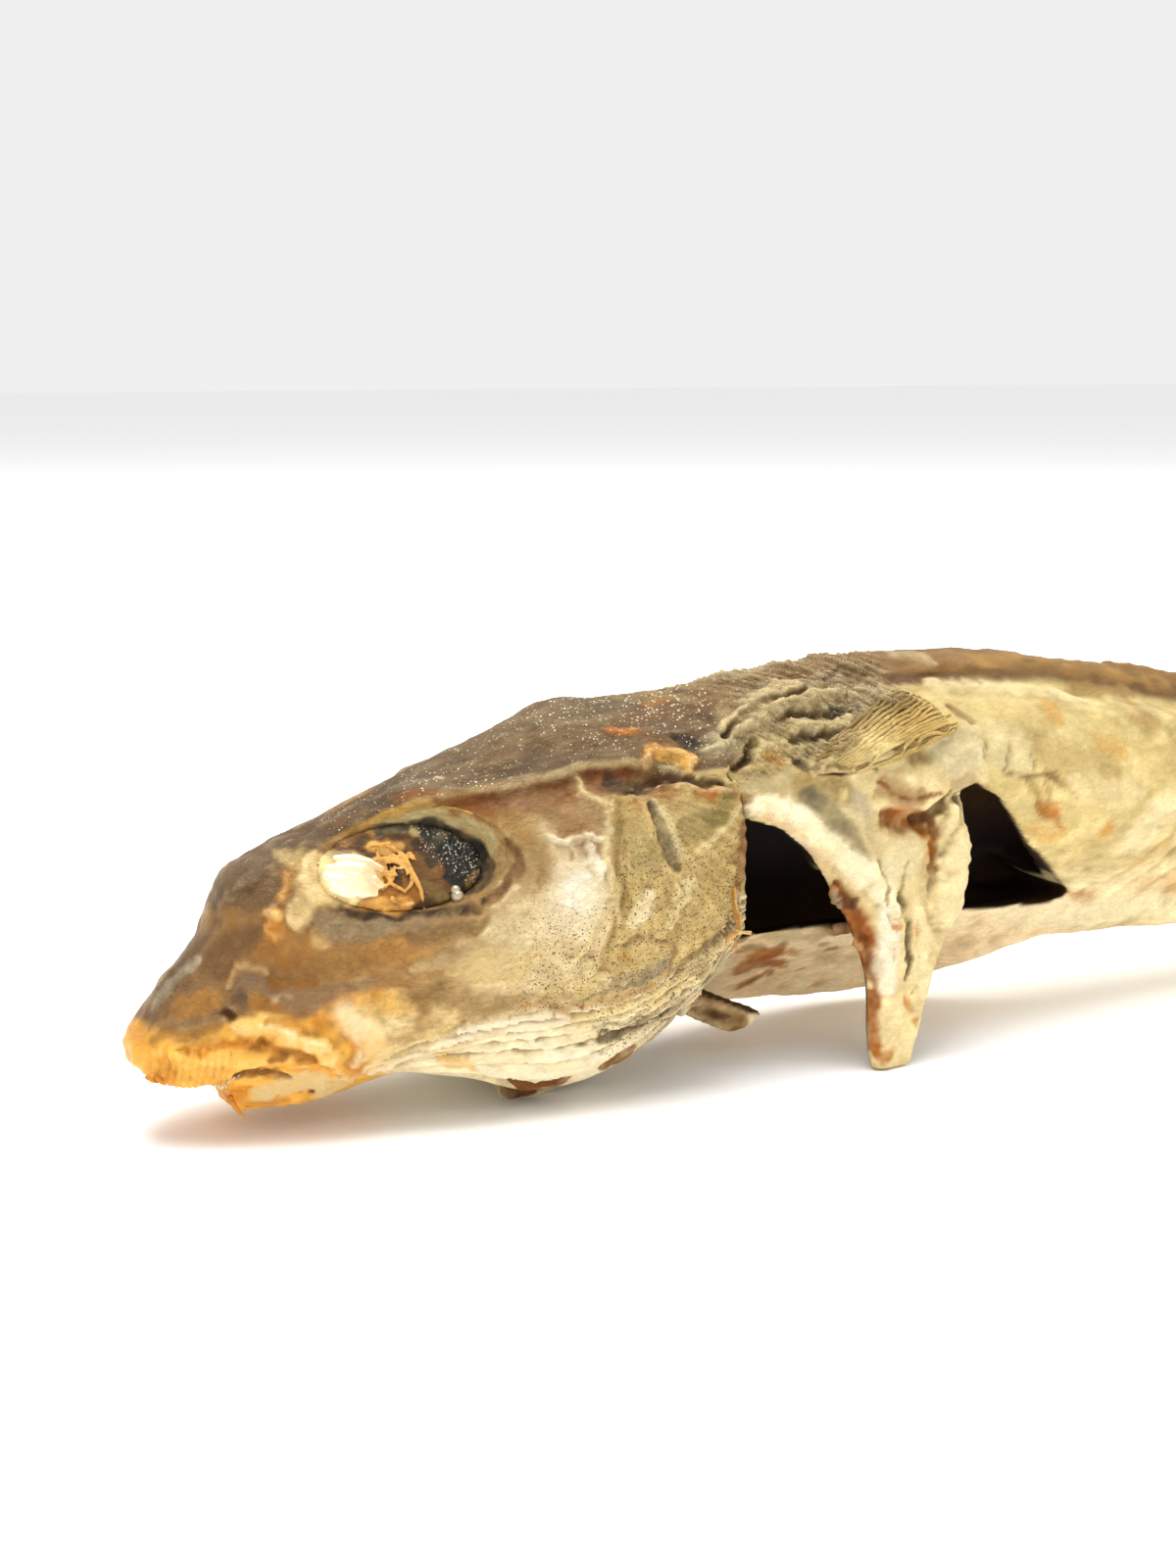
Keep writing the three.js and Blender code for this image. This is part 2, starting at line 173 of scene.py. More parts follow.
# The lip has torn away in front of the lower jaw, so the mouth gapes there. The torn bit is
# drawn from the side at two depths, left and right of the lip, and joined between them.
LIP_TEAR = {
    -22: [(-4.5, 13.1), (-2.8, 14.3), (0.8, 14.2), (4.9, 14.3), (6.7, 14.7), (8.5, 15.5), (8.4, 14.8),
          (6.8, 13.9), (5.6, 13.3), (5.3, 12.2), (5, 8.6), (-4, 10)],
    16: [(6, 0), (7.8, 1.4), (11.9, 1.3), (16.7, 1.3), (18.7, 1.8), (20.7, 2.7), (20.6, 1.9),
         (18.8, 0.9), (17.4, 0.2), (17.1, -1), (16.8, -5.1), (6.5, -3.5)],
}
work = bmesh.new()
edges = []
for depth, outline in LIP_TEAR.items():
    corners = [work.verts.new(at(x, depth, z)) for x, z in outline]
    edges += bmesh.ops.contextual_create(work, geom=corners)["faces"][0].edges
bmesh.ops.bridge_loops(work, edges=edges)
bmesh.ops.recalc_face_normals(work, faces=work.faces)
tear_mesh = bpy.data.meshes.new("mouth_tear")
work.to_mesh(tear_mesh)
work.free()
mouth_tear = new_piece("mouth_tear", tear_mesh)

# The side that was turned up while it dried keeps the finest wrinkles, so the surface is
# split once more there: the left side, the throat and the nape, as far back as the breast fin.
FINE_UNTIL = 134.0
THROAT = (36, 88)
THROAT_TOP = 20 * MM
NAPE = (88, 126)
NAPE_HALF_WIDTH = 16 * MM
hide = over_solid("hide", "stockfish", SURFACE_GRID, FACET_SMOOTHING, mouth_tear)
bpy.data.objects.remove(mouth_tear)
inside = lining(places(hide.data), numbers(hide.data.vertices, "normal", 3))
work = bmesh.new()
work.from_mesh(hide.data)
wrinkled = []
for face in work.faces:
    middle = face.calc_center_median()
    x = (middle.x - NOSE) / MM
    left = face.normal.y < -0.22 and middle.y < -1 * MM
    throat = THROAT[0] < x < THROAT[1] and middle.z < THROAT_TOP and face.normal.y < 0.1
    nape = NAPE[0] < x < NAPE[1] and abs(middle.y) < NAPE_HALF_WIDTH and face.normal.z > 0.1
    if x < FINE_UNTIL and (left or throat or nape) and inside[face.verts[0].index] < 0.3:
        wrinkled.append(face)
fine_edges = {edge for face in wrinkled for edge in face.edges}
bmesh.ops.subdivide_edges(work, edges=list(fine_edges), cuts=1, use_grid_fill=True)
work.to_mesh(hide.data)
work.free()


class Skin:
    """A dried surface that takes strokes: the colour of each mark, and how far it stands out.
    Strokes are drawn on the left side and fall on the right side too, unless side says less.
    A lined skin is the one with the hollow's wall, which takes no strokes."""

    LEFT_OF_ALL = -60.0
    USUAL_DEPTH = -12.0
    TRACE_STEP = 0.7
    BRUSH_SPREAD = 1.3
    MEAN_ROUNDS = 14

    def __init__(self, piece, lined=False):
        self.piece = piece
        mesh = piece.data
        self.spot = places(mesh)
        self.facing = numbers(mesh.vertices, "normal", 3)
        self.inner = lining(self.spot, self.facing) if lined else np.zeros(len(self.spot))
        self.left = self.spot * [1, 0, 1] - [0, 1, 0] * np.abs(self.spot)
        self.waves = {size: grain(self.spot, size, seed) for seed, size in enumerate((0.8, 1.7, 3.5, 8.0))}
        bent = [0.8 * grain(self.spot, 2.6, seed) + 0.35 * grain(self.spot, 1.0, seed + 3)
                for seed in (21, 22, 23)]
        self.bent = self.left + np.stack(bent, 1)
        self.streaks = grain(self.spot * [0.2, 1, 1], 0.9, 11)
        self.flow = grain(self.spot * [0.22, 1, 1], 2.6, 12)
        self.rise = np.zeros(len(self.spot))
        self.tint = np.zeros((len(self.spot), 3))
        self.marks = []
        self.layers = {name: np.zeros(len(self.spot)) for name in ("pepper", "salt", "sheen", "scales")}
        self.layers["grit"] = np.full(len(self.spot), 0.0 if lined else 0.7)
        self.surface = BVHTree.FromObject(piece, bpy.context.evaluated_depsgraph_get())

    def level(self, curve):
        """Height in millimetres over a line drawn along the side of the fish as (x, z) points."""
        x, z = np.array(curve, float).T
        return self.left[:, 2] - np.interp(self.left[:, 0], x, z)

    def above(self, curve, softness):
        """1 over a line along the side, 0 under it."""
        return smooth(-softness, softness, self.level(curve) + 0.6 * self.waves[3.5] * min(softness, 1))

    def behind(self, x, softness):
        """1 towards the tail from x, 0 towards the nose."""
        return smooth(-softness, softness, self.spot[:, 0] - x + 0.6 * self.waves[3.5])

    def found(self, spot):
        """A place in full: one drawn as (x, z) is where a look from the left meets the skin."""
        if len(spot) == 3:
            return spot
        x, z = spot
        place = self.surface.ray_cast(at(x, self.LEFT_OF_ALL, z), Vector((0, 1, 0)))[0]
        return (x, place.y / MM if place else self.USUAL_DEPTH, z)

    def trace(self, path):
        """A line through a few given points, smoothed and laid down on the skin."""
        path = [self.found(spot) for spot in path]
        knots = np.array([path[0], *path, path[-1]], float)
        line = []
        for a, b, c, d in zip(knots, knots[1:], knots[2:], knots[3:]):
            steps = 2 + int(np.linalg.norm(c - b) / self.TRACE_STEP)
            for t in np.linspace(0, 1, steps, endpoint=False):
                line.append(0.5 * (2 * b + (c - a) * t + (2 * a - 5 * b + 4 * c - d) * t * t
                                   + (3 * b - a - 3 * c + d) * t ** 3))
        laid = [self.surface.find_nearest(at(*p))[0] for p in [*line, knots[-1]]]
        return np.array(laid) / MM - [NOSE / MM, 0, 0]

    def brush(self, path, width, side=1.0):
        """How near each point is to a stroke: 1 on its line, 0 a width away from it, and thinner
        at its ends."""
        width *= self.BRUSH_SPREAD
        line = self.trace([path] if np.ndim(path) == 1 else path)
        line[:, 1] = -np.abs(line[:, 1])
        near = np.all((self.bent > line.min(0) - width) & (self.bent < line.max(0) + width), axis=1)
        thin = 1 - 0.6 * np.abs(np.linspace(-1, 1, len(line))) ** 4 * (len(line) > 3)
        away = (np.sqrt(((self.bent[near][:, None, :] - line) ** 2).sum(2)) / thin).min(1) / width
        share = np.zeros(len(self.spot))
        share[near] = np.clip(1 - away, 0, 1)
        return share * side * (1 - self.inner)

    def paint(self, share, colour):
        """Lays a colour over the skin."""
        self.tint += (linear(colour) - self.tint) * np.asarray(share)[:, None]

    def coat(self, colour):
        """Lays a first colour all over."""
        self.paint(np.ones(len(self.spot)), colour)

    def mark(self, share, colour, amount=1.0, lift=0.0, edge=0.6):
        """Keeps a mark to be laid over all the plain colours: its share, colour and height in
        millimetres. A lower edge gives it a flatter middle and a quicker end."""
        touched = np.flatnonzero(share)
        self.marks.append((touched, share[touched], colour, amount, lift, edge))

    def draw(self, *strokes, side=1.0):
        """Marks given one by one, each a path, a width, a colour, an amount, a lift and an edge."""
        for path, width, colour, *rest in strokes:
            self.mark(self.brush(path, width, side), colour, *rest)

    def set_hard(self, worn=0.3, hollow_shade=0.4, top_shade=0.0):
        """Lays the marks and pushes them out or in, darkens what faces up and browns the hollows,
        both as painted shade, rubs the ridges pale and keeps the colours."""
        mesh = self.piece.data
        shade = 0.16 * self.waves[3.5] + 0.14 * self.waves[1.7] + 0.12 * self.flow + 0.08 * self.streaks
        self.tint *= 1 + shade[:, None] * [0.9, 1.0, 1.25]
        for touched, share, colour, amount, lift, edge in self.marks:
            worn_off = 0.9 + 0.25 * self.waves[1.7][touched] + 0.2 * self.waves[0.8][touched]
            laid = np.minimum(smooth(0, edge, share) * amount * worn_off, 1)[:, None]
            self.tint[touched] += (linear(colour) - self.tint[touched]) * laid
            self.rise[touched] += lift * smooth(0, 1, share)
        # Painted shade: the more a point faces up, the darker its colour.
        self.tint *= (1 - top_shade * np.clip(self.facing[:, 2], 0, 1))[:, None]
        mean = self.rise
        for _ in range(self.MEAN_ROUNDS):
            mean = 0.5 * mean + 0.5 * neighbour_mean(mean, mesh)
        # Painted shade: what lies lower than its surroundings is browned.
        self.paint(smooth(0.02, 0.3, mean - self.rise) * hollow_shade * (1 - self.inner), "#66481f")
        self.paint(smooth(0.02, 0.3, self.rise - mean) * worn * (1 - self.inner), "#f3e6c2")
        pushed = self.spot + self.facing * self.rise[:, None]
        mesh.vertices.foreach_set("co", (pushed * MM + [NOSE, 0, 0]).ravel())
        mesh.update()
        colour = mesh.color_attributes.new("tint", "FLOAT_COLOR", "POINT")
        rgba = np.c_[np.clip(self.tint * BAKE, 0, 1) ** DEEPEN, np.ones(len(self.spot))]
        colour.data.foreach_set("color", rgba.astype(np.float32).ravel())
        for name, values in self.layers.items():
            layer = mesh.attributes.new(name, "FLOAT", "POINT")
            layer.data.foreach_set("value", np.clip(values, 0, 1).astype(np.float32))
        mesh.shade_smooth()


# The last trim of all the colours: a little darker and deeper, the blues most.
BAKE = np.array([0.98, 0.945, 0.915])
DEEPEN = np.array([1.12, 1.13, 1.18])

skin = Skin(hide, lined=True)
left_side = smooth(2, -2, skin.spot[:, 1])
outer = 1 - skin.inner
x_on, y_on, z_on = skin.left.T

# ---- Skull roof and brow ------------------------------------------------------------------------
# Thin skin dried straight on to the bone: dull grey brown in long streaks, with white
# specks of salt. Its edge overhangs the temple, and a lump of amber gristle sits behind.
BROW = [(0, 16.5), (6, 23), (12, 32), (20, 38.5), (30, 43.3), (38, 46.8), (42, 47.8), (47, 48), (53, 48.5),
        (60, 49.5), (65.5, 50.6), (72, 50.6), (76, 49.6), (90, 48.6)]
skin.coat("#b8935c")
over_brow = skin.level(BROW) + 0.25 * skin.waves[3.5]
head = 1 - smooth(-4, 5, x_on - 93 + 3 * skin.waves[8.0] + 2 * skin.waves[3.5])
roof = smooth(-0.5, 0.5, over_brow) * head
nape_end = smooth(95, 105, x_on)
skin.paint(roof, "#705b40")
skin.paint(roof * smooth(-0.2, 0.6, skin.flow) * 0.6, "#8b7453")
skin.paint(roof * smooth(0.0, 0.6, -skin.streaks) * 0.5, "#6f5536")
skin.paint(roof * smooth(0.1, 0.7, skin.streaks) * 0.35, "#a28e6b")
skin.paint(roof * smooth(0.1, 0.7, skin.waves[3.5]) * 0.45, "#77603f")
salted = 0.62 + 0.25 * smooth(2, 10, over_brow) + 0.35 * skin.waves[8.0] + 0.25 * skin.waves[1.7]
skin.layers["salt"] += roof * smooth(16, 34, x_on) * (1 - nape_end) * salted
skin.rise += roof * (0.14 * skin.waves[3.5] + 0.16 * skin.streaks)
skin.draw(
    ([(45.4, -2, 50.4), (51.6, -2, 52.7), (59.8, -1, 55.9), (66.8, -2, 58.4)], 2.4, "#8f7b60", 0.6),
    ([(52.2, 50.9), (58.7, 53.6), (64.3, 55.3), (71.9, 55.6)], 2.2, "#9c8360", 0.5, 0.2),
    ([(61.8, -3, 56.6), (65.5, -5, 57.1), (71.4, -5, 56.8), (78.4, -4, 57)], 2.6, "#a39272", 0.5),
    ([(70.7, -4, 57.8), (75.2, -3, 57.6), (79.6, -3, 57.6)], 1.6, "#6a5f4c", 0.6),
    ((44.7, -8, 49.8), 0.8, "#d8cbab", 0.9, 0.3),
    ([(51.3, -6, 51.5), (57.1, -7, 52.8), (61.8, -9, 53)], 1.6, "#7b6043", 0.5, -0.15),
    ([(39, -3, 48.1), (42.6, -9, 49.3), (45.1, -11, 48.9)], 1.8, "#93836a", 0.6),
    ([(40.2, 4, 47.5), (44.1, 6, 48.4), (46.8, 3, 50.4)], 1.2, "#a08a63", 0.5),
    ([(70.8, 54.7), (73.6, 54.8), (76.3, 54.4)], 1.3, "#b87424", 0.9, 0.25),
    ([(71.3, 54.5), (73.7, 54.6), (76.4, 54.3)], 1.3, "#c07c28", 0.85, 0.2),
    ([(76.6, 53.8), (79, 53.3), (80.7, 52.2)], 1.8, "#8e6535", 0.7),
    ([(65.5, 53), (69.8, 52.8), (72.9, 53.1)], 1.6, "#7c644a", 0.6),
)
brow = smooth(36, 44, x_on) * (1 - smooth(75, 80, x_on)) * smooth(-5, -9, y_on)
skin.rise += brow * (0.55 * np.exp(-((over_brow - 0.7) / 0.9) ** 2)
                     - 1.3 * smooth(0.2, -0.7, over_brow) * np.exp(-(np.minimum(over_brow, 0) / 4) ** 2))
skin.mark(brow * np.exp(-((over_brow - 0.35) / 0.25) ** 2), "#c0ab80", 0.55, edge=1)
# Under the overhanging edge the temple is painted dark brown: its own brown, with the overhang's shadow
# painted in.
under_brow = brow * smooth(0.1, -0.4, over_brow) * np.exp(-(np.minimum(over_brow, 0) / 3.6) ** 2)
skin.mark(under_brow, "#80491a", 0.95, edge=0.8)
skin.draw(
    ([(74.4, 50.4), (76.4, 51.3), (78.4, 51.6), (80.5, 51.3), (81.9, 50.5)], 1.9, "#d79d46", 0.9, 1.2, 0.8),
    ([(77.3, 50.7), (79.6, 50.6), (80.6, 49.9)], 1.6, "#e9bb62", 0.95, 0.6),
    ([(74.3, 50.3), (76.2, 49.4), (78.7, 49), (81.4, 49)], 0.8, "#8d5a22", 0.8, -0.6),
)

# ---- Snout --------------------------------------------------------------------------------------
# Brown skin stretched over the nose bones, glossy where fat has come through, with an
# amber nodule at each nostril and a pale grey streak down its front that is a painted highlight.
snout = (1 - skin.behind(26, 4)) * (1 - roof)
skin.paint(snout, "#96754c")
skin.paint(snout * smooth(0, 0.6, skin.waves[3.5]) * 0.5, "#a17a45")
skin.paint((1 - skin.behind(30, 5)) * smooth(0.1, 0.7, -skin.waves[1.7]) * 0.35, "#6b4c2c")
skin.rise += (1 - skin.behind(30, 6)) * (0.2 * skin.waves[3.5] + 0.12 * skin.waves[1.7])
skin.layers["sheen"] += (1 - skin.behind(24, 5)) * 0.35
skin.draw(
    ([(14.8, 0, 36.9), (17.8, -4, 39), (21.1, -6, 40.1)], 2.6, "#857159", 0.7),
    ([(14.3, 34.3), (16.8, 35), (18.9, 36.6)], 2.2, "#715a41", 0.7, -0.2),
    ([(15.7, 37.1), (17.2, 37.8)], 1.3, "#a18a73", 0.5),
    ([(19.3, 39.2), (19.2, 37.7)], 1.1, "#a98e70", 0.6),
    ([(13, -3, 33.9), (13.2, -6, 31.8), (13.7, -7, 30.2)], 1.6, "#9a7238", 0.6),
    ([(14.5, 29.8), (11.9, 27.6), (9.9, 25.3)], 2.4, "#7b5c3b", 0.7, -0.2),
    ([(11, -2, 29.2), (8.9, 0, 26.3), (6.6, 0, 24)], 1.4, "#675641", 0.7),
    # The pale grey stroke next and the paler one on its upper end paint a highlight down the snout's front.
    ([(2.7, -1, 19), (4.5, -2, 21.3), (6, -2, 23.3), (8, -2, 24.8), (9.4, -4, 26)], 1.2, "#a39b8b", 0.8,
     0.15),
    ([(8, -2, 25), (9.4, -4, 26)], 0.9, "#bdb09b", 0.7),
    ([(1.9, -3, 17.2), (3.3, -3, 18.8), (6.4, -5, 21.8), (9.5, -6, 24.1)], 1.5, "#7f6548", 0.6),
    ([(4.8, 19.3), (7.8, 20.6), (10.5, 21.5)], 1.9, "#b48544", 0.85),
    ([(17.8, 29), (20.1, 29.5), (22.3, 29)], 2.2, "#ab7f44", 0.75),
    ([(18.5, 26.7), (21.3, 26.5), (24.1, 26.9)], 1.8, "#996a34", 0.75, -0.2),
    ([(11.6, 22.5), (12, 24.1), (13.1, 25.4), (14.5, 26), (15.8, 25.8), (16.8, 25)], 1.1, "#b58a55", 0.7,
     0.4, 1),
    ([(12.8, 23), (14.7, 24), (16.2, 23.5)], 2.2, "#907a63", 0.8, -0.4, 1),
    ([(10, 18.2), (6.7, 18.1), (3.9, 17.9)], 1.2, "#9c8263", 0.6),
    ([(10.6, 19.4), (11.6, 18.6)], 1, "#55361a", 0.95, -1),
    ([(12.7, 21.8), (13.4, 21.1)], 0.9, "#6c573f", 0.8, -0.3),
    ([(16, 27.7), (17.5, 28.2), (18.8, 27)], 1.6, "#a97a3c", 0.75),
    ([(17.1, 24), (18.7, 23.3), (20.5, 22.9), (23, 23.5)], 1.5, "#9a6a2a", 0.85, -0.35),
    ([(16.9, 21.6), (19.4, 21.2), (23, 21.1), (26.7, 21.9), (32.6, 23.4)], 2, "#957a5f", 0.85, 0.25),
    ([(16.6, 22.1), (17.1, 21.3)], 0.8, "#bfa57f", 0.7, 0.3),
    ([(14.8, 20.9), (17, 20.1)], 1.5, "#b37e36", 0.8),
    ([(16.7, 31.9), (16.6, 29.9)], 0.8, "#7c5c3a", 0.7, -0.4),
    ([(17.9, 33.4), (17.9, 31.7), (17.5, 30.7)], 1.7, "#cb8b2c", 0.95, 1.1, 0.8),
    # This pale stroke on the nodule is a painted highlight.
    ([(18.5, 33.5), (18.7, 32.2), (18.3, 31.2)], 0.8, "#eab85c", 0.85, 0.3),
    ((18.4, 34.6), 0.7, "#c2ab82", 0.7, 0.2),
    ([(19.6, 35.1), (20.5, 36.6), (21.3, 38)], 1.1, "#c8924a", 0.85, 0.4),
    ([(20.3, 32.5), (21.3, 34.1), (21.5, 36.1)], 1.2, "#8d6538", 0.6),
)

# ---- Face and cheek -----------------------------------------------------------------------------
# The sunken skin under the eye runs from glossy brown at the nose to the silver of the
# cheek muscle, which carries a painted highlight and is peppered with fine dots towards the back and below.
face = skin.behind(24, 4) * (1 - roof) * head
skin.paint(face, "#ae8a58")
skin.paint(face * skin.behind(38, 6) * smooth(38, 26, z_on), "#cdb48a")
skin.paint(face * skin.behind(49, 5), "#d9c69f")
skin.paint(face * smooth(0.0, 0.6, skin.streaks) * 0.35, "#e0cda0")
skin.paint(face * smooth(0.1, 0.7, -skin.flow) * 0.4, "#9a7c50")
skin.draw(
    ([(49, 46.3), (50.7, 43.6), (52.2, 40), (52.3, 36.1)], 3.4, "#9a7a48", 0.75),
    ([(56.7, 48.1), (58.3, 46), (60.7, 44), (63.8, 44.3)], 3.6, "#99774f", 0.75),
    ([(52.6, 47), (53.4, 45.1), (53.9, 42.6)], 1.8, "#a98b56", 0.6, 0.15),
    ([(53.5, 41), (54.5, 38.4), (52.9, 35.4)], 2.2, "#a58b62", 0.6),
    ([(67.2, 49.8), (69.7, 48.7), (74, 48.8)], 2, "#54412f", 0.9, -0.5),
    ([(62.3, 49.2), (63.4, 47.8), (64.8, 46.8)], 1.6, "#b59a72", 0.6, 0.2),
    ([(24.5, 32.4), (28.4, 31), (33.1, 30.1)], 2.3, "#9b8a73", 0.85, -0.1),
    ([(31, 31.9), (35.9, 31.2), (40.9, 31), (43.5, 31.6)], 2.2, "#9f8d72", 0.8),
    ([(23.3, 30.2), (24.4, 28.9)], 1.4, "#caa76a", 0.7, 0.3),
    ([(22.2, 26.4), (25.7, 26.8), (29.2, 27.3), (32.7, 27.7)], 2, "#a07c4a", 0.8),
    ([(30.4, 28.2), (34.1, 28.1), (37.9, 27.9), (41, 28.2)], 2.2, "#b1864a", 0.75, 0.15),
    ([(37.8, 26.3), (41.6, 26.7), (45.6, 27.7), (48.9, 29.6), (51.8, 32.6)], 1.5, "#8f6c46", 0.8, -0.3),
    ([(43.6, 31.9), (47.3, 33.3), (50.6, 35.4), (53.4, 37.9)], 1.4, "#b79e78", 0.7, 0.4),
    ([(44.8, 29.8), (45.8, 29.8)], 1.2, "#cdb981", 0.8, 0.6, 1),
    ([(35.6, 29.4), (38.9, 29.6), (42.6, 30.2), (46.1, 31.5)], 1.6, "#8f7049", 0.75, -0.15),
    ([(41.1, -18, 33), (44.3, -19, 33.9), (47.5, -20, 35.3)], 2.2, "#b08d5f", 0.7),
    ([(46.8, 33), (49, 34.2), (51.5, 35.9)], 0.5, "#ecd9b0", 0.7, 0.2),
    ([(39.3, 32.1), (41.6, 32.4), (43.7, 32.9)], 0.6, "#d9bd86", 0.7, 0.25),
    ([(47.1, 31.5), (50.4, 33.1), (52.9, 35.1)], 2, "#d6c19a", 0.7),
    ([(30.5, 22.7), (33.9, 24), (38.8, 25.4), (43.5, 26.2)], 2, "#a58053", 0.7),
    ([(35.5, 24.7), (39.8, 26.1), (44.2, 27.3), (48.6, 29.2)], 1.6, "#c4b089", 0.7, 0.2),
    ([(46.7, 29), (51.1, 30.5), (55.2, 31.3)], 3.6, "#e2d3ae", 0.85, 0, 1),
    ([(42.2, 24.7), (47.4, 24.6), (52.6, 24.9)], 3, "#d9c592", 0.7),
    ([(50.1, 30.2), (54.5, 30.6), (57.8, 30.9)], 3.6, "#e2d3ae", 0.8),
    # The next two pale strokes, the second near white, paint a highlight on the cheek muscle.
    ([(58.7, 39.7), (59.8, 36.5), (58.4, 32.9), (56.1, 31.2)], 4.2, "#e3d7bb", 0.85, 0.3),
    ([(59.4, 36), (59.3, 33)], 2.6, "#fbf7ea", 0.9, 0.3),
    ([(60.6, 35.6), (61.4, 32), (60.2, 28.8)], 2.2, "#efe5ca", 0.8),
    ([(56.1, 41.6), (59.2, 41.9), (63.3, 42)], 0.7, "#e9dcc0", 0.8, 0.3),
    ([(62.4, 41.1), (62.3, 38.8), (63.2, 36.4)], 0.7, "#f5edd8", 0.9, 0.35),
    ([(62.7, 49), (63.4, 47.8)], 0.6, "#d8c5a0", 0.7, 0.2),
    ([(62.7, 49.1), (63.2, 47.6), (64.9, 46.6), (66.9, 46.3)], 0.9, "#d8bf8f", 0.7, 0.3),
    ([(61.7, 42.7), (63.1, 42.2), (64.4, 41.2)], 0.6, "#f3e9cf", 0.8, 0.25),
    ([(61.6, 38.7), (62.3, 36.9), (62.9, 35.6)], 0.6, "#f3e9cf", 0.8, 0.3),
    ((58.3, 39.9), 0.8, "#8f5a32", 0.8),
    ([(64.9, 24), (68.1, 24.3)], 0.8, "#b98a4a", 0.7),
)
for step in range(7):
    begin = 54 + 1.6 * step
    ray = [(begin, 27 - 0.8 * step), (begin + 4, 23 - 0.6 * step), (begin + 6, 18.5)]
    skin.draw((ray, 0.7, "#efe2ba", 0.45, 0.22))
skin.draw(
    ([(62.2, 24.2), (61.9, 21.5), (58.4, 20), (53.9, 19.2)], 1.2, "#dcc791", 0.6, 0.3),
    ([(55.7, 24.6), (59.2, 24.6), (60.7, 27.2), (61.4, 30.6)], 1.1, "#e8d7a6", 0.6, 0.35),
)

# ---- Gill cover ---------------------------------------------------------------------------------
# A thin bony plate under olive-tan skin, rayed with pale fibres from its upper corner,
# dented at the front, with a narrow brown hem along its free rear edge.
FAN_X, FAN_Z = 69, 49
CHEEK_END = [(40, 66.0), (37.9, 65.4), (33, 65.2), (28, 64.3), (23, 62.6), (18.5, 58.5)]
heights, ends = np.array(sorted(CHEEK_END)).T
into_cover = x_on - np.interp(z_on, heights, ends) + 0.4 * skin.waves[3.5]
cover = smooth(-0.8, 1.2, into_cover) * (1 - roof) * head * smooth(14, 20, z_on)
skin.paint(cover, "#cdb682")
skin.paint(cover * smooth(0, 0.7, skin.waves[3.5]) * 0.4, "#b8a26d")
skin.paint(cover * smooth(70, 86, x_on) * smooth(22, 36, z_on) * 0.45, "#a9945f")
fan = np.arctan2(z_on - FAN_Z, x_on - FAN_X) * 26 + 1.2 * skin.waves[8.0] + 0.5 * skin.waves[3.5]
fibres = np.cos(fan * 2.7) * smooth(3, 9, np.hypot(z_on - FAN_Z, x_on - FAN_X))
skin.rise += cover * 0.08 * fibres
skin.paint(cover * smooth(0.3, 0.95, fibres) * 0.25, "#e0cf9e")
seam = 0.45 * np.exp(-((into_cover + 0.3) / 0.7) ** 2) - 0.35 * np.exp(-((into_cover - 1.2) / 0.9) ** 2)
skin.rise += seam * head * smooth(19, 23, z_on) * smooth(46, 43, z_on)
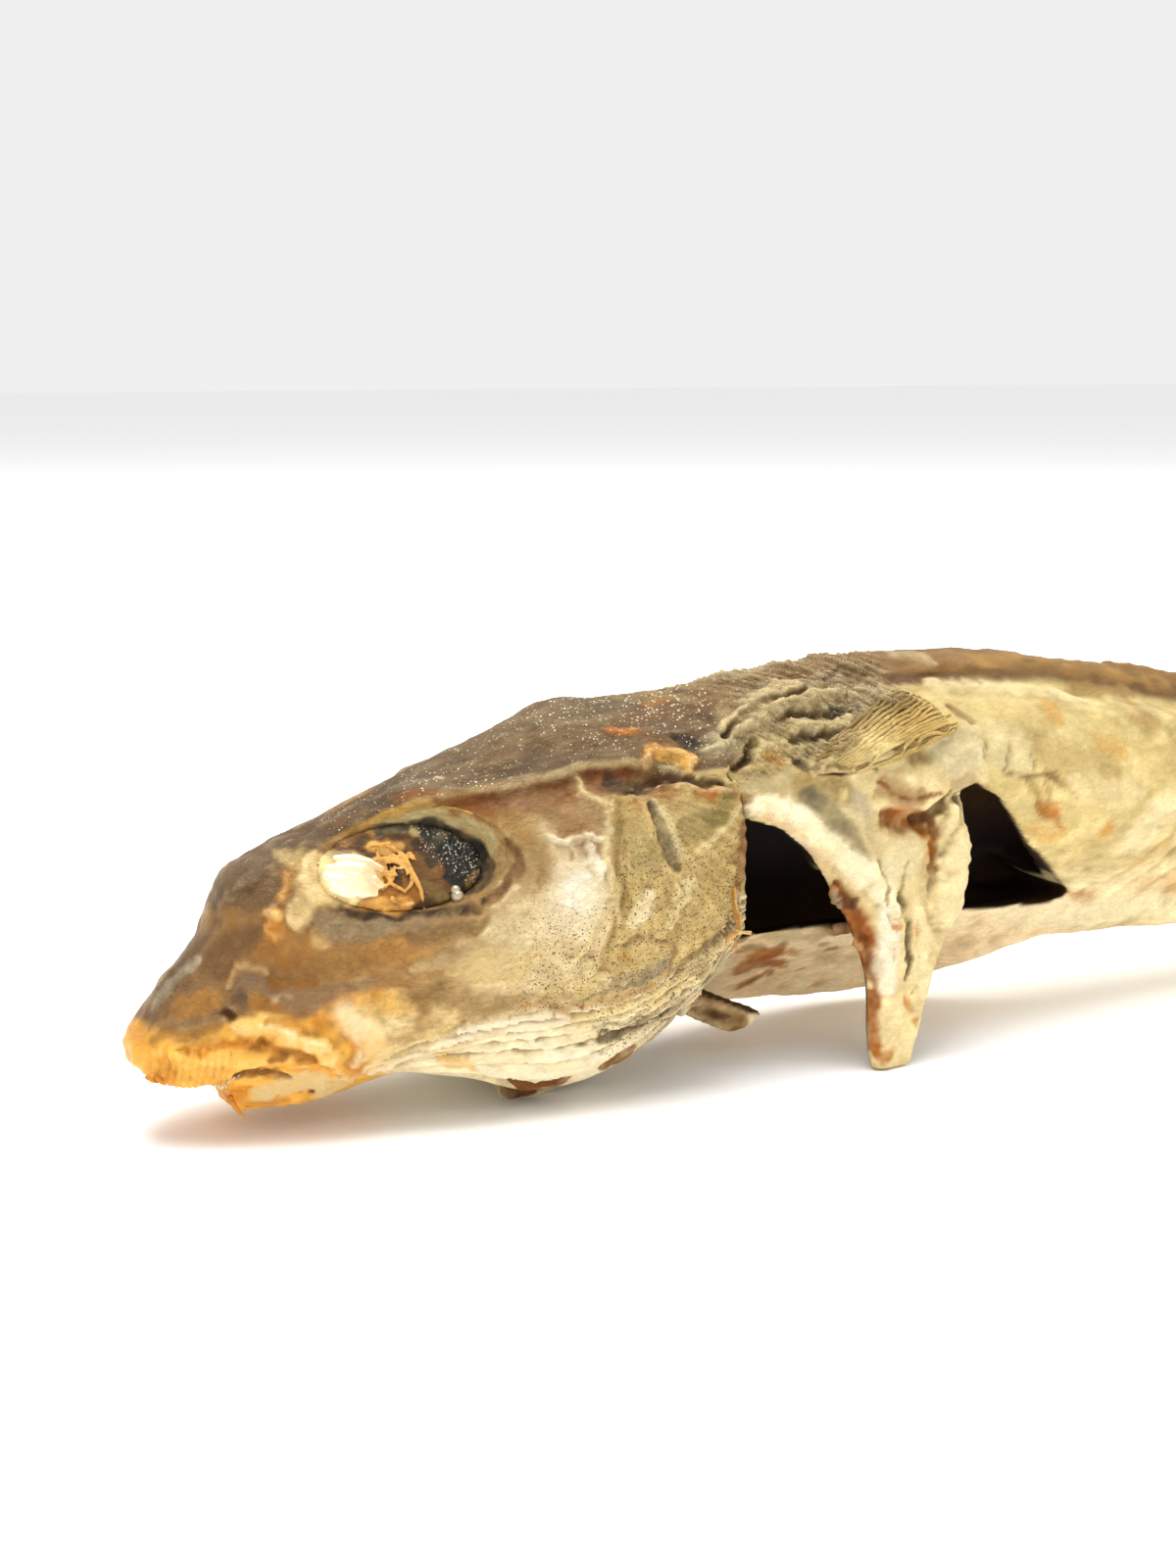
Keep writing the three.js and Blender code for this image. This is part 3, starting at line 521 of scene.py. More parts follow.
skin.draw(
    ([(67, 46.7), (65.8, 44.3), (65.1, 41.4), (65, 38.7), (65.7, 35.5), (66.1, 31.8), (66.4, 28)], 0.7,
     "#e5d6ab", 0.75, 0.3),
    ([(67.7, 45.9), (66.8, 43.4), (66.3, 41), (66.4, 37.8), (67, 33.5), (67.3, 28.4)], 1.1, "#a18a58", 0.5,
     -0.2),
    ([(68, 47.1), (69.8, 46.6), (71.4, 45.8)], 1.4, "#c9ae72", 0.7, 0.2),
    ([(71.9, 46.4), (72.6, 44.3), (73, 41.4), (73.6, 39.4)], 0.55, "#665c48", 0.9, -0.4),
    ([(70.7, 46.1), (71.2, 43.6), (72, 41.1)], 0.4, "#857a5f", 0.8, -0.2),
    ([(73.4, 45.8), (74.3, 43), (75.2, 39.6), (75.8, 36.7)], 0.8, "#e0d3a9", 0.8, 0.4),
    ([(70, 43.7), (68.9, 41.7), (68.6, 39.6)], 1.8, "#b9a775", 0.6, 0.2),
    ([(77, 42.1), (79, 41.1), (81.8, 42.6), (83.7, 42.8)], 2.2, "#8a7e55", 0.55, -0.3),
    ([(88.4, -20, 44.4), (84.9, -21, 41.6), (81.4, -21, 39.1), (78.9, -22, 37.4)], 0.8, "#d9ca9a", 0.7,
     0.4),
    ([(68.4, 37.1), (70.3, 37.8), (72.5, 37.2)], 1.6, "#b2a47a", 0.6),
    ([(70.1, 33.5), (69.5, 31.1), (68.6, 28.5)], 1.2, "#f1e6c3", 0.8, 0.45),
    ([(77.5, 33.7), (75.4, 31.1), (73.6, 28.2)], 0.9, "#ecdcb0", 0.8, 0.4),
    ([(75.3, 34.2), (74.2, 31.8), (73.3, 29.6)], 0.7, "#e2cd9b", 0.7, 0.3),
    ([(74.3, 48.1), (76.6, 48.6), (78.6, 47.7), (83.6, 46.3), (90.7, 45.1)], 0.8, "#cbb98f", 0.85, 0.4),
    # This dark stroke, pressed in above the cover's top edge, is painted shadow in the hollow there.
    ([(69.5, 48.1), (73, 48.1), (73.8, 48.9), (76.9, 49.1), (81.4, 48), (86.1, 46.9)], 1.2, "#5c4733", 0.9,
     -0.9),
    ([(69.8, 46.6), (71.1, 45.7)], 0.7, "#a3744c", 0.7),
    ([(80.2, 46.7), (82.2, 46.1)], 1, "#b97b31", 0.85),
    ([(91.2, -16, 44.9), (91.7, -16, 43.3), (88.3, -20, 41), (87.6, -21, 37.7), (87, -21, 34.4),
     (86.1, -22, 31.4)], 1.1, "#8a5f33", 0.95, 0.35),
    ([(73.6, 46.8), (77.6, 47.3), (82.9, 46.3), (87, 46.1), (91.3, 43.8)], 0.8, "#b98a4c", 0.7, 0.3),
    ([(82, 47), (82.7, 45.7)], 1, "#b8742c", 0.8),
    # This olive stroke on the upper rear of the cover is painted shade.
    ([(87.2, 46.4), (84.3, 43.5), (82, 42.1)], 1.6, "#8d8152", 0.6, -0.25),
    ([(72.6, 45.7), (73.6, 42.1), (75, 37.9), (75.8, 36.1)], 1.2, "#6d6450", 0.8, -0.6),
    ([(75, 45.1), (75.7, 41), (77.1, 36.8)], 0.8, "#dccfa5", 0.7, 0.35),
    ([(66.4, 46.6), (65.3, 42.7), (64.5, 38.8), (64.2, 34.7)], 0.8, "#dfd0a2", 0.7, 0.35),
    ([(74.4, 32.2), (76.7, 33.5), (78.5, 35.3)], 0.9, "#e9dbb0", 0.7, 0.4),
    ([(69.8, 29.7), (70.4, 31.8), (70.8, 33.5)], 1, "#f3e8c6", 0.8, 0.4),
    ([(80.7, 25.9), (83.7, 28.1), (85.7, 31)], 0.9, "#c9b684", 0.6, 0.3),
    ([(55.9, 42), (58.7, 41.9), (62, 42), (64.7, 41.3)], 0.9, "#f1e6cf", 0.7, 0.4),
    ([(61.9, 41.4), (62.8, 39), (64, 36.8)], 0.8, "#f6efdc", 0.8, 0.4),
    ([(62.4, 48.5), (64.4, 46.6), (66.7, 46.2)], 0.7, "#cdb98a", 0.7, 0.3),
    ([(59.1, 46.2), (60.4, 43.1), (61.1, 39.9)], 1.8, "#a07a52", 0.5),
    ([(65.3, 25.4), (69.7, 26.2), (73.5, 25), (75.3, 22.3), (75, 19.7)], 0.8, "#8f7550", 0.6, -0.35),
    ([(64, 19.7), (69.8, 20.2), (73.6, 21.7)], 2.2, "#c3b08b", 0.6),
    ([(86.1, 27.8), (83.6, 24.5), (78.9, 22.1), (76, 19.5)], 1.1, "#9d8656", 0.7, -0.5),
    ([(87.8, 25.9), (85.2, 23.8), (81.1, 21.3), (76.6, 18.9), (71, 17)], 0.9, "#dcc48c", 0.8, 0.5),
)

# ---- Throat membranes ---------------------------------------------------------------------------
# Below the cheek the gill membranes hang in half a dozen paper-thin pleats, one over the
# other like fallen pages. They sweep back along the jaw and turn up behind the gill cover.
PLEATS_TOP = [(28, 11.5), (36, 14), (42, 15.6), (50, 16.6), (57.5, 16.9), (65, 17.2), (71.8, 18.4),
              (78.2, 21.2), (83.1, 25), (87, 31)]
PLEATS_SIDE = [(28, 12.5), (36, 15.5), (44, 19), (60, 20.5), (90, 21)]
PLEATS_REACH = [(28, 0.4), (36, 0.6), (46, 0.95), (58, 1.1), (70, 0.9), (78, 0.65), (88, 0.45)]
PLEAT_DEPTH = 0.85
PLEAT_CROWDING = 4.1
under_chin = -skin.level(PLEATS_TOP) + 0.6 * np.maximum(np.interp(x_on, *np.transpose(PLEATS_SIDE)) + y_on, 0)
drop = np.maximum(under_chin + 0.4 * skin.waves[8.0] + 0.08 * skin.waves[3.5], 0)
pleats = PLEAT_CROWDING * np.log1p(drop / np.interp(x_on, *np.transpose(PLEATS_REACH)) / 4.0)
lap = pleats - np.floor(pleats)
membrane = smooth(-0.3, 0.4, under_chin) * skin.behind(33, 4) * (1 - skin.behind(90, 1.5)) * outer
skin.paint(membrane, "#f8edcd")
skin.paint(membrane * smooth(60, 76, x_on + 0.8 * z_on - 10) * 0.8, "#a39270")
# Painted shade: each pleat is darkened where it lies under the edge of the one above.
skin.paint(membrane * smooth(0.3, 0.06, lap) * 0.9, "#86693b")
skin.paint(membrane * smooth(0.55, 0.95, lap) * 0.75, "#fbf1d3")
skin.paint(membrane * smooth(0.2, 0.8, skin.flow) * 0.2, "#e0c892")
stepped = PLEAT_DEPTH * (smooth(0, 0.8, lap) - 0.5) * (0.75 + 0.4 * skin.waves[8.0])
skin.rise += membrane * stepped * smooth(0, 1.2, under_chin)
speckled = smooth(57, 66, x_on + 0.5 * z_on - 6)
skin.layers["pepper"] += membrane * (0.7 + 0.3 * smooth(0.8, 0.4, lap)) * speckled
skin.layers["sheen"] += head * outer * 0.3 * (0.8 + 0.8 * skin.waves[3.5])
skin.layers["pepper"] += (face * smooth(44, 54, x_on) * smooth(46, 24, z_on) + 0.62 * cover) * (1 - membrane)
# Among these, the dark brown strokes pressed in along the folds are painted shade in the folds between the
# pleats.
skin.draw(
    ([(56.5, 15.5), (59.8, 14.5), (64, 14.2), (69.1, 14.8), (74.4, 15.9), (78.8, 17.7), (83.3, 20.8)], 0.9,
     "#f4e6bd", 0.85, 0.35),
    ([(31.4, 9.4), (37.8, 12.4), (43.3, 14.3), (48.1, 15), (54.3, 15), (58.4, 16.2)], 2, "#f3e9d0", 0.85,
     0.9),
    ([(26.9, 8.5), (31.7, 11), (35.4, 12.4)], 1.4, "#e9d8ae", 0.8, 0.5),
    ([(33.1, 11.8), (38.1, 14.1), (43, 16.3)], 0.9, "#b79d6d", 0.7, -0.3),
    ([(46.9, 8.6), (51.1, 6), (56.4, 5.4), (60.4, 6.1), (65.9, 7.4)], 1.4, "#fdf6e0", 0.95, 0.6),
    ([(52.6, -12, 4.1), (57.5, -9, 1.7), (58.8, -14, 3.5), (62.1, -16, 5.1)], 1.3, "#84592c", 0.95, 0.3,
     0.4),
    ([(67.3, 5.4), (69.2, 6.8), (72.3, 8.5)], 1.1, "#8a5f31", 0.95, 0.3, 0.4),
    ([(55.1, 14.9), (59.6, 13.4), (64.9, 13.6), (70.4, 14.4)], 1.1, "#f6ecc9", 0.8, 0.5),
    ([(52.8, 13.8), (55.7, 10.7), (61.3, 8.5), (66.9, 8.5)], 1, "#fdf5dd", 0.8, 0.45),
    ([(50.8, 10.8), (55.5, 7.9), (61.9, 6.9), (68.3, 7.6)], 0.9, "#f8ecc9", 0.8, 0.4),
    ([(39.9, 11.5), (43, 9.8), (46.1, 10)], 1.2, "#e6c98d", 0.8, 0.2),
    ([(84.4, 23), (81.7, 19.9), (76.5, 17), (70.2, 15.8), (62.7, 15.7)], 1, "#e8d5a0", 0.85, 0.55),
    ([(60.5, 10.4), (68.2, 11.1), (75.5, 12.5), (88.3, 10.6)], 0.8, "#574526", 0.85, -0.5),
    ([(62.1, 14), (70.1, 13.4), (76.3, 15)], 0.7, "#6b5734", 0.8, -0.4),
    ([(65.2, 19.8), (71.1, 20.6), (75.2, 22.1)], 1.8, "#a29273", 0.6),
    ([(79.8, 20.7), (84.7, 18), (85, 20.9)], 1.6, "#8a7750", 0.6),
    ([(58, 15.6), (62.7, 15.6), (67.2, 16.3), (72, 16.9), (75.8, 17.8)], 0.8, "#ecd9a6", 0.85, 0.45),
    ([(76.3, 15.1), (77.2, 15.7), (80.7, 18.2), (83.7, 21.3)], 0.6, "#4f3d22", 0.95, -0.6),
    ([(65.9, 13.4), (72.4, 14), (77.8, 15.6), (81.3, 18)], 0.6, "#ead9b2", 0.9, 0.6),
    ([(72.9, 12.1), (79.7, 13.2), (83.1, 15.6)], 0.6, "#eddcb4", 0.85, 0.6),
    ([(69.5, 11.9), (75.8, 13.3), (80.6, 15.7), (84.1, 18.7)], 0.5, "#43331c", 0.95, -0.6),
    ([(59.9, 18), (64.9, 18.6), (69.4, 19.3), (73, 20.5)], 0.6, "#8f7f5e", 0.6, -0.2),
    ([(69.3, 19.7), (72.5, 21), (73.6, 23)], 1.4, "#a2977f", 0.6),
    ([(50.6, 18.9), (55.8, 17.6), (58.4, 16.7)], 0.7, "#c9935a", 0.5),
    ([(62.5, 11.9), (67.1, 11.8), (71.8, 12.4)], 0.5, "#4a3920", 0.9, -0.4),
    ([(56.6, 17.3), (62.6, 16.9), (68.4, 17.4), (73.9, 19.4), (75, 22.8)], 0.7, "#b58a52", 0.6, 0.2),
    ((54.2, 12.3), 0.5, "#9a5a20", 0.95),
    ((61.1, 17), 0.4, "#9a5a20", 0.95),
    ([(48.9, 14.3), (49.8, 12.7), (51.4, 13.4)], 1.1, "#fbf2d6", 0.85, 0.6),
    ([(45.7, 10.6), (48.3, 11.1), (49.6, 12.5)], 0.9, "#f7eccb", 0.8, 0.5),
    ([(36, 10.1), (40.2, 12.9), (44.6, 14.2), (48.9, 14.5)], 0.9, "#d9c69c", 0.8, 0.3),
    ([(33.7, 9.3), (38.3, 11.3), (42.9, 12.1)], 0.9, "#bda57a", 0.6, -0.3),
    ([(39.4, 11.2), (43.2, 9.9), (46.5, 8.2)], 0.7, "#e3b76a", 0.6, 0.25),
    ((61.1, 16.9), 0.45, "#99531a", 0.9),
    ((54.5, 12.2), 0.5, "#8c5626", 0.9),
    ((67.5, 9.7), 0.4, "#a5621f", 0.85),
    ((65.6, 9), 0.4, "#b87530", 0.8),
    ((50.7, 16.8), 0.4, "#b87838", 0.8),
    ((56.1, 16.4), 0.4, "#b87838", 0.8),
)

# ---- Jaws ---------------------------------------------------------------------------------------
# Lips and gums without scales: fat has soaked through and set to a clear amber, ridged
# from the teeth behind it and frayed along the lower edge.
LIP = [(0, 17), (6, 17.2), (12, 18.6), (16, 18), (20, 18.6), (25, 19.4), (29, 20), (31, 18), (34, 11),
       (38, 6)]
TOOTH_SPACING = 0.95
lips = (1 - skin.above(LIP, 0.7)) * (1 - skin.behind(33, 2.5))
skin.paint(lips, "#ecb757")
skin.paint(lips * smooth(0.0, 0.7, skin.waves[3.5]) * 0.45, "#dfa245")
skin.paint(lips * smooth(0.1, 0.8, -skin.waves[1.7]) * 0.4, "#f7cf82")
skin.layers["sheen"] += lips * 0.8
tooth_marks = np.cos(2 * math.pi * (x_on + 0.3 * skin.waves[1.7]) / TOOTH_SPACING)
skin.rise += lips * smooth(16, 14, z_on) * (1 - skin.behind(12, 1.5)) * 0.12 * tooth_marks
skin.rise += lips * (0.08 * skin.waves[1.7] + 0.2 * skin.waves[3.5])
skin.draw(
    ([(1.2, 2, 16.2), (0.7, -2, 15.6), (0.9, -4, 14.5)], 1.3, "#dda046", 0.8),
    ([(1.4, 15.5), (4.2, 16.3), (7.5, 16.9), (10.3, 17.4)], 1.1, "#a57a3f", 0.75, -0.35),
    ((6.1, 16.4), 0.8, "#8c6330", 0.6),
    ([(0.3, -3, 13.8), (1.1, -4, 11.2), (2.8, -4, 9.2)], 2.4, "#f1b552", 0.9, 0.2),
    ([(2.9, 13.6), (3.6, 11.1), (4, 9.6)], 1.3, "#dc9533", 0.7),
    ([(6.7, 14), (8.8, 13.3), (11.9, 13), (15.7, 12.7)], 1.5, "#f5c668", 0.85, 0.35),
    ([(4.4, 14.8), (8.4, 15.3), (12.8, 15.7), (16.1, 14.9)], 1, "#d08a22", 0.85, -0.4),
    ([(11.3, 18.2), (13.2, 18.7), (15.9, 18.4), (18.7, 17), (21.2, 15.8), (24.1, 14.3)], 1.5, "#f8d07c",
     0.95, 0.9, 0.8),
    ([(12.2, 17.7), (14.4, 17.2), (18.1, 15.9), (20.9, 14.7), (23.6, 13.4), (26.6, 10.6), (28.7, 8.8)], 1.5,
     "#f5cf85", 0.95, 0.7, 0.8),
    ([(14.3, 17.9), (17.3, 17.3), (20.3, 16.3), (23.4, 14.9)], 0.5, "#fdeab8", 0.8, 0.2),
    ([(15.9, 17.9), (18.7, 18), (21.5, 16.8)], 0.9, "#c98f3a", 0.7, -0.35),
    ([(12.8, 15.5), (15.6, 14.8), (18.9, 13.8), (22, 12.1)], 0.9, "#b97a2a", 0.85, -0.6),
    ([(16.1, 13.3), (17.3, 13.1), (18.5, 13.4)], 0.9, "#8d5c20", 0.75, -0.4),
    ([(18.7, 11.3), (21.1, 11.4), (23.5, 10.6), (26.8, 8.7)], 1.1, "#ebab47", 0.85, 0.4),
    ([(25.9, 17.9), (27.6, 15.3), (28.3, 12.8), (28.7, 8.8)], 1.1, "#cc8831", 0.9, 0.7),
    ([(22.6, 18.1), (24.7, 17.4)], 1.6, "#cc8c34", 0.8, -0.3),
    ([(23.1, 19.1), (26.1, 20.4), (29.1, 21.5)], 1.6, "#dfa043", 0.8, 0.3, 1),
    ([(30.7, 19.7), (32.2, 19.5)], 2.2, "#f7d88e", 0.7, 0, 1),
    ([(26.5, 19.4), (28.6, 17.4), (31.2, 15.6)], 3.2, "#f2e4be", 0.95, 0.25, 1),
    ([(27.8, 20.6), (30.3, 21.2), (32.5, 20.6), (33.4, 19.2)], 1.4, "#eab04c", 0.8, 0.2, 1),
    ([(32.9, 17.1), (35.4, 16.9)], 2.6, "#f0dfb0", 0.8, 0, 1),
    ([(25.2, 12), (27.6, 10.5)], 1, "#edb65f", 0.7),
    ([(14.9, -9, 7), (18.6, -11, 8), (22.4, -11, 8.7), (28, -11, 7.2)], 2.3, "#e0c998", 1, 0.15),
    ([(14, 5.3), (17.2, 5.8), (20.3, 5.5)], 0.9, "#cf9138", 0.8),
    # This dark stroke pressed into the mouth's slit is painted shade in the gap.
    ([(11.7, 10.5), (14, 11.1), (16.4, 10.8), (19.5, 9.5)], 1, "#8a5a22", 0.85, -0.9),
    ([(12.3, -3, 5.1), (12.6, -5, 6.2), (13.4, -9, 8.4)], 1.6, "#e39f3e", 0.9),
    ((23.3, 6.7), 0.5, "#85390f", 0.95),
    ((21.6, 6.5), 0.4, "#b8732f", 0.9),
    ((18.2, 6.8), 0.45, "#c88a45", 0.8),
    ([(28, 12.3), (31.7, 12.9), (34.7, 13.8)], 1.8, "#e6d5ae", 0.85, 0.3, 1),
    ([(31.7, 20.8), (34.1, 19.9), (35.8, 18.7)], 1.8, "#f1d08c", 0.7, 0, 1),
    ((36.9, 18.8), 0.9, "#98845f", 0.7, -0.3),
    ([(38.8, 18.8), (41, 17.5), (42.1, 18.5)], 1.8, "#efd9a6", 0.7, 0.3, 1),
    ([(30.5, 12.4), (34.2, 13.2), (39, 14.8), (42.1, 16.6)], 1.3, "#e6cf9c", 0.75, 0.2),
)

# ---- Eye sockets --------------------------------------------------------------------------------
# The lids have shrunk to a hard dark rim, with rings of brown skin behind it. A cream film
# of dried jelly has run over the front corner.
EYE_MARKS = (
    ([(37, -7.5, 47.5), (41.7, -11.7, 47.7), (47.4, -13.8, 47.2), (49.4, -15.7, 46)], 1.5, "#96622a", 0.85),
    ([(32.4, -8, 43.8), (37.7, -10.9, 46.5), (43.3, -13, 46), (46.9, -14.8, 45)], 1, "#c9a964", 0.8),
    ([(35.1, -8.5, 44.1), (39.2, -9.9, 44.8), (42.9, -11.4, 44.6), (46.3, -13, 43.9), (48.8, -14.6, 42.6),
     (50.1, -15.9, 40.1)], 1.3, "#c3b78d", 0.95, 0.2),
    ([(50.2, -16, 40.1), (49.5, -17.4, 37.4), (47.7, -18, 35.6), (45.3, -18.1, 34.4)], 0.9, "#b39a6b", 0.9),
    ([(50.3, -18.1, 42.6), (51.4, -19.3, 40), (50.9, -19.9, 37.4), (48.9, -19.9, 35.2),
     (45.5, -19.4, 33.4)], 1, "#7c5a39", 0.9, -0.2),
    ([(49.7, -16.7, 44.8), (52.2, -18.5, 43.5), (52.6, -19.4, 41.2)], 0.9, "#b08d54", 0.7),
    ([(25.6, -12.3, 34), (29.2, -14, 33.2), (33.1, -15.6, 32.6), (38.4, -17.4, 32.4), (43.5, -18.9, 33),
     (46.9, -19.5, 34.4)], 0.9, "#3d2b19", 0.95, -0.1),
    ([(29, -5.9, 43.7), (31.3, -5.4, 44.7), (34.3, -7.1, 46.1)], 1.2, "#8f6a41", 0.8),
    ([(34.6, -8.6, 43.1), (36.5, -8.6, 43.5), (38.4, -9.1, 43.4)], 1, "#4f4b43", 0.95, 0, 0.4),
    ([(39.4, -9.4, 43.7), (41.6, -10.2, 43.6), (42.9, -10.7, 43.2)], 0.9, "#6f6b5e", 0.9),
    ([(40.4, -10.5, 42.6), (42.6, -11.1, 42.3), (44.8, -12, 41.6), (47, -12.8, 40.2), (47.9, -14.1, 38.6)],
     1.7, "#35332f", 0.98, 0.1, 0.3),
    ([(46.1, -13.3, 40), (47.3, -14.6, 38.1), (46.1, -15.5, 36.3), (44.2, -15.8, 35.6)], 2.5, "#1b1a19", 1,
     0.1, 0.3),
    ([(43.3, -12.9, 40.2), (43.4, -14.2, 38.4), (43.7, -15.3, 36.5)], 2, "#262422", 1, 0.1, 0.3),
    ([(38.7, -12.7, 39.6), (40.1, -13.6, 38.6), (40.8, -14.5, 37.4)], 1.8, "#7a5a30", 0.95, -0.1, 0.4),
    ([(37.9, -14.6, 36.3), (39.9, -15.5, 34.9), (41.6, -16.7, 33.3)], 1.2, "#8a7546", 0.9),
    ([(45.7, -17.2, 34.7), (48.5, -16.1, 36.9), (49.4, -15.6, 38.4)], 0.7, "#7d6642", 0.9),
    ([(32.6, -10, 41), (34.3, -10.3, 41.3), (36.4, -11.3, 40.9)], 1.2, "#e3b66c", 0.9, 0.2),
    ([(28.6, -10.3, 38.5), (30.8, -11.7, 37.8), (33.6, -13.5, 36.2), (36.9, -15.1, 34.5)], 2.2, "#a8742f",
     0.9, 0, 0.4),
    ([(34.4, -11.3, 40.1), (35, -12.8, 38.3), (35.6, -13.9, 36.4)], 1, "#3a2a18", 0.9, -0.1, 0.4),
    ([(38.7, -11.1, 41.7), (39.9, -12.4, 40.4), (40.7, -13.8, 38.6)], 1.1, "#40301c", 0.95, 0, 0.4),
    ([(29.7, -12.5, 33.7), (33.2, -14.5, 33.6), (36.7, -15.4, 33.6)], 1.1, "#e0ae64", 0.9),
    ([(20.6, -3.6, 40.5), (22.7, -7.4, 40), (24.1, -8.7, 39)], 1.3, "#e6cd94", 0.7),
    ([(24.3, -8.4, 39.7), (25.6, -8.3, 38.8), (24.9, -9.4, 37.3), (23.2, -10.8, 35.4), (21.8, -11.6, 33.4),
     (20.6, -11.9, 31.8)], 2.2, "#f6e0ac", 0.95, 0.35, 0.4),
    ([(26.8, -8.8, 39.3), (29, -10.2, 38.8), (29.3, -11.4, 37.2), (27.1, -11.3, 35.9), (25.5, -11.3, 35.3)],
     2.4, "#f5dba3", 0.95, 0.2, 0.4),
    ([(22.2, -8.8, 38), (22, -10.6, 35.2), (21.3, -11.6, 32.9)], 0.9, "#c9a56c", 0.6),
    ([(25.8, -7.9, 40.5), (27.5, -8.4, 40.3), (29.4, -9.2, 40.4)], 1.2, "#8a7355", 0.85),
)
skin.draw(*EYE_MARKS)

# ---- Nape and back ------------------------------------------------------------------------------
# Scaled skin that has shrunk into slanting folds behind the skull, and along the spine a
# ridge where fat has dried to a brown glaze with a dark line under it.
trunk = 1 - head
skin.paint(trunk, "#d0bd8b")
SCALE_LENGTH = 1.15
SCALE_WIDTH = 1.3
CRINKLE = 2.7
NAPE_FOLD = 8.5
BACK = [(90, 50), (104, 53), (118, 58), (136, 58), (158, 56), (186, 50), (220, 43), (260, 33), (300, 22.5),
        (330, 15)]
spine = skin.above(BACK, 1.2) * trunk
skin.paint(spine, "#8f6f3f")
skin.paint(spine * smooth(-0.2, 0.6, skin.flow) * 0.6, "#ad8a50")
skin.paint(spine * smooth(0.2, 0.7, -skin.streaks) * 0.5, "#5f431f")
under_ridge = np.exp(-((skin.level(BACK) - 0.6 + 0.5 * skin.waves[3.5]) / 0.9) ** 2)
skin.paint(under_ridge * trunk * skin.behind(126, 6) * 0.75, "#5a3c1b")
skin.layers["sheen"] += spine * 0.45
nape = trunk * (1 - skin.behind(123, 4)) * skin.above([(90, 46), (104, 49), (125, 51)], 1.5)
skin.paint(nape, "#b3a382")
skin.paint(nape * smooth(0, 0.6, skin.waves[3.5]) * 0.5, "#9c8a66")
skin.paint(nape * smooth(0, 0.6, -skin.waves[3.5]) * 0.5, "#d6c79e")
skin.layers["scales"] += nape + trunk * 0.15
row = (x_on - 0.7 * np.abs(y_on) + 0.9 * z_on) / SCALE_LENGTH + 0.5 * skin.waves[3.5]
across = (0.9 * np.abs(y_on) + 0.5 * x_on) / SCALE_WIDTH + 0.4 * skin.waves[3.5]
scales = np.cos(2 * math.pi * row) * (0.6 + 0.4 * np.cos(2 * math.pi * across))
crinkles = np.sin(2 * math.pi * (x_on + 1.5 * y_on + 1.6 * skin.waves[8.0]) / CRINKLE)
skin.rise += nape * (0.26 * scales + 0.16 * crinkles)
skin.paint(nape * smooth(0.1, 0.9, scales) * 0.6, "#d3c7a8")
skin.paint(nape * smooth(-0.2, -0.8, scales) * 0.5, "#6b5b42")
folds = np.sin(2 * math.pi * (x_on - 1.3 * np.abs(y_on) + 2.2 * skin.waves[8.0]) / NAPE_FOLD)
skin.rise += nape * 0.5 * folds * (0.5 + 0.5 * skin.waves[8.0])
leg = smooth(104, 108, x_on) * smooth(136, 130, x_on) * smooth(46, 40, z_on) * left_side
uneven = 0.35 * skin.waves[8.0] + 0.2 * skin.waves[3.5] + 0.08 * skin.flow
skin.rise += trunk * outer * (1 - 0.6 * leg) * uneven
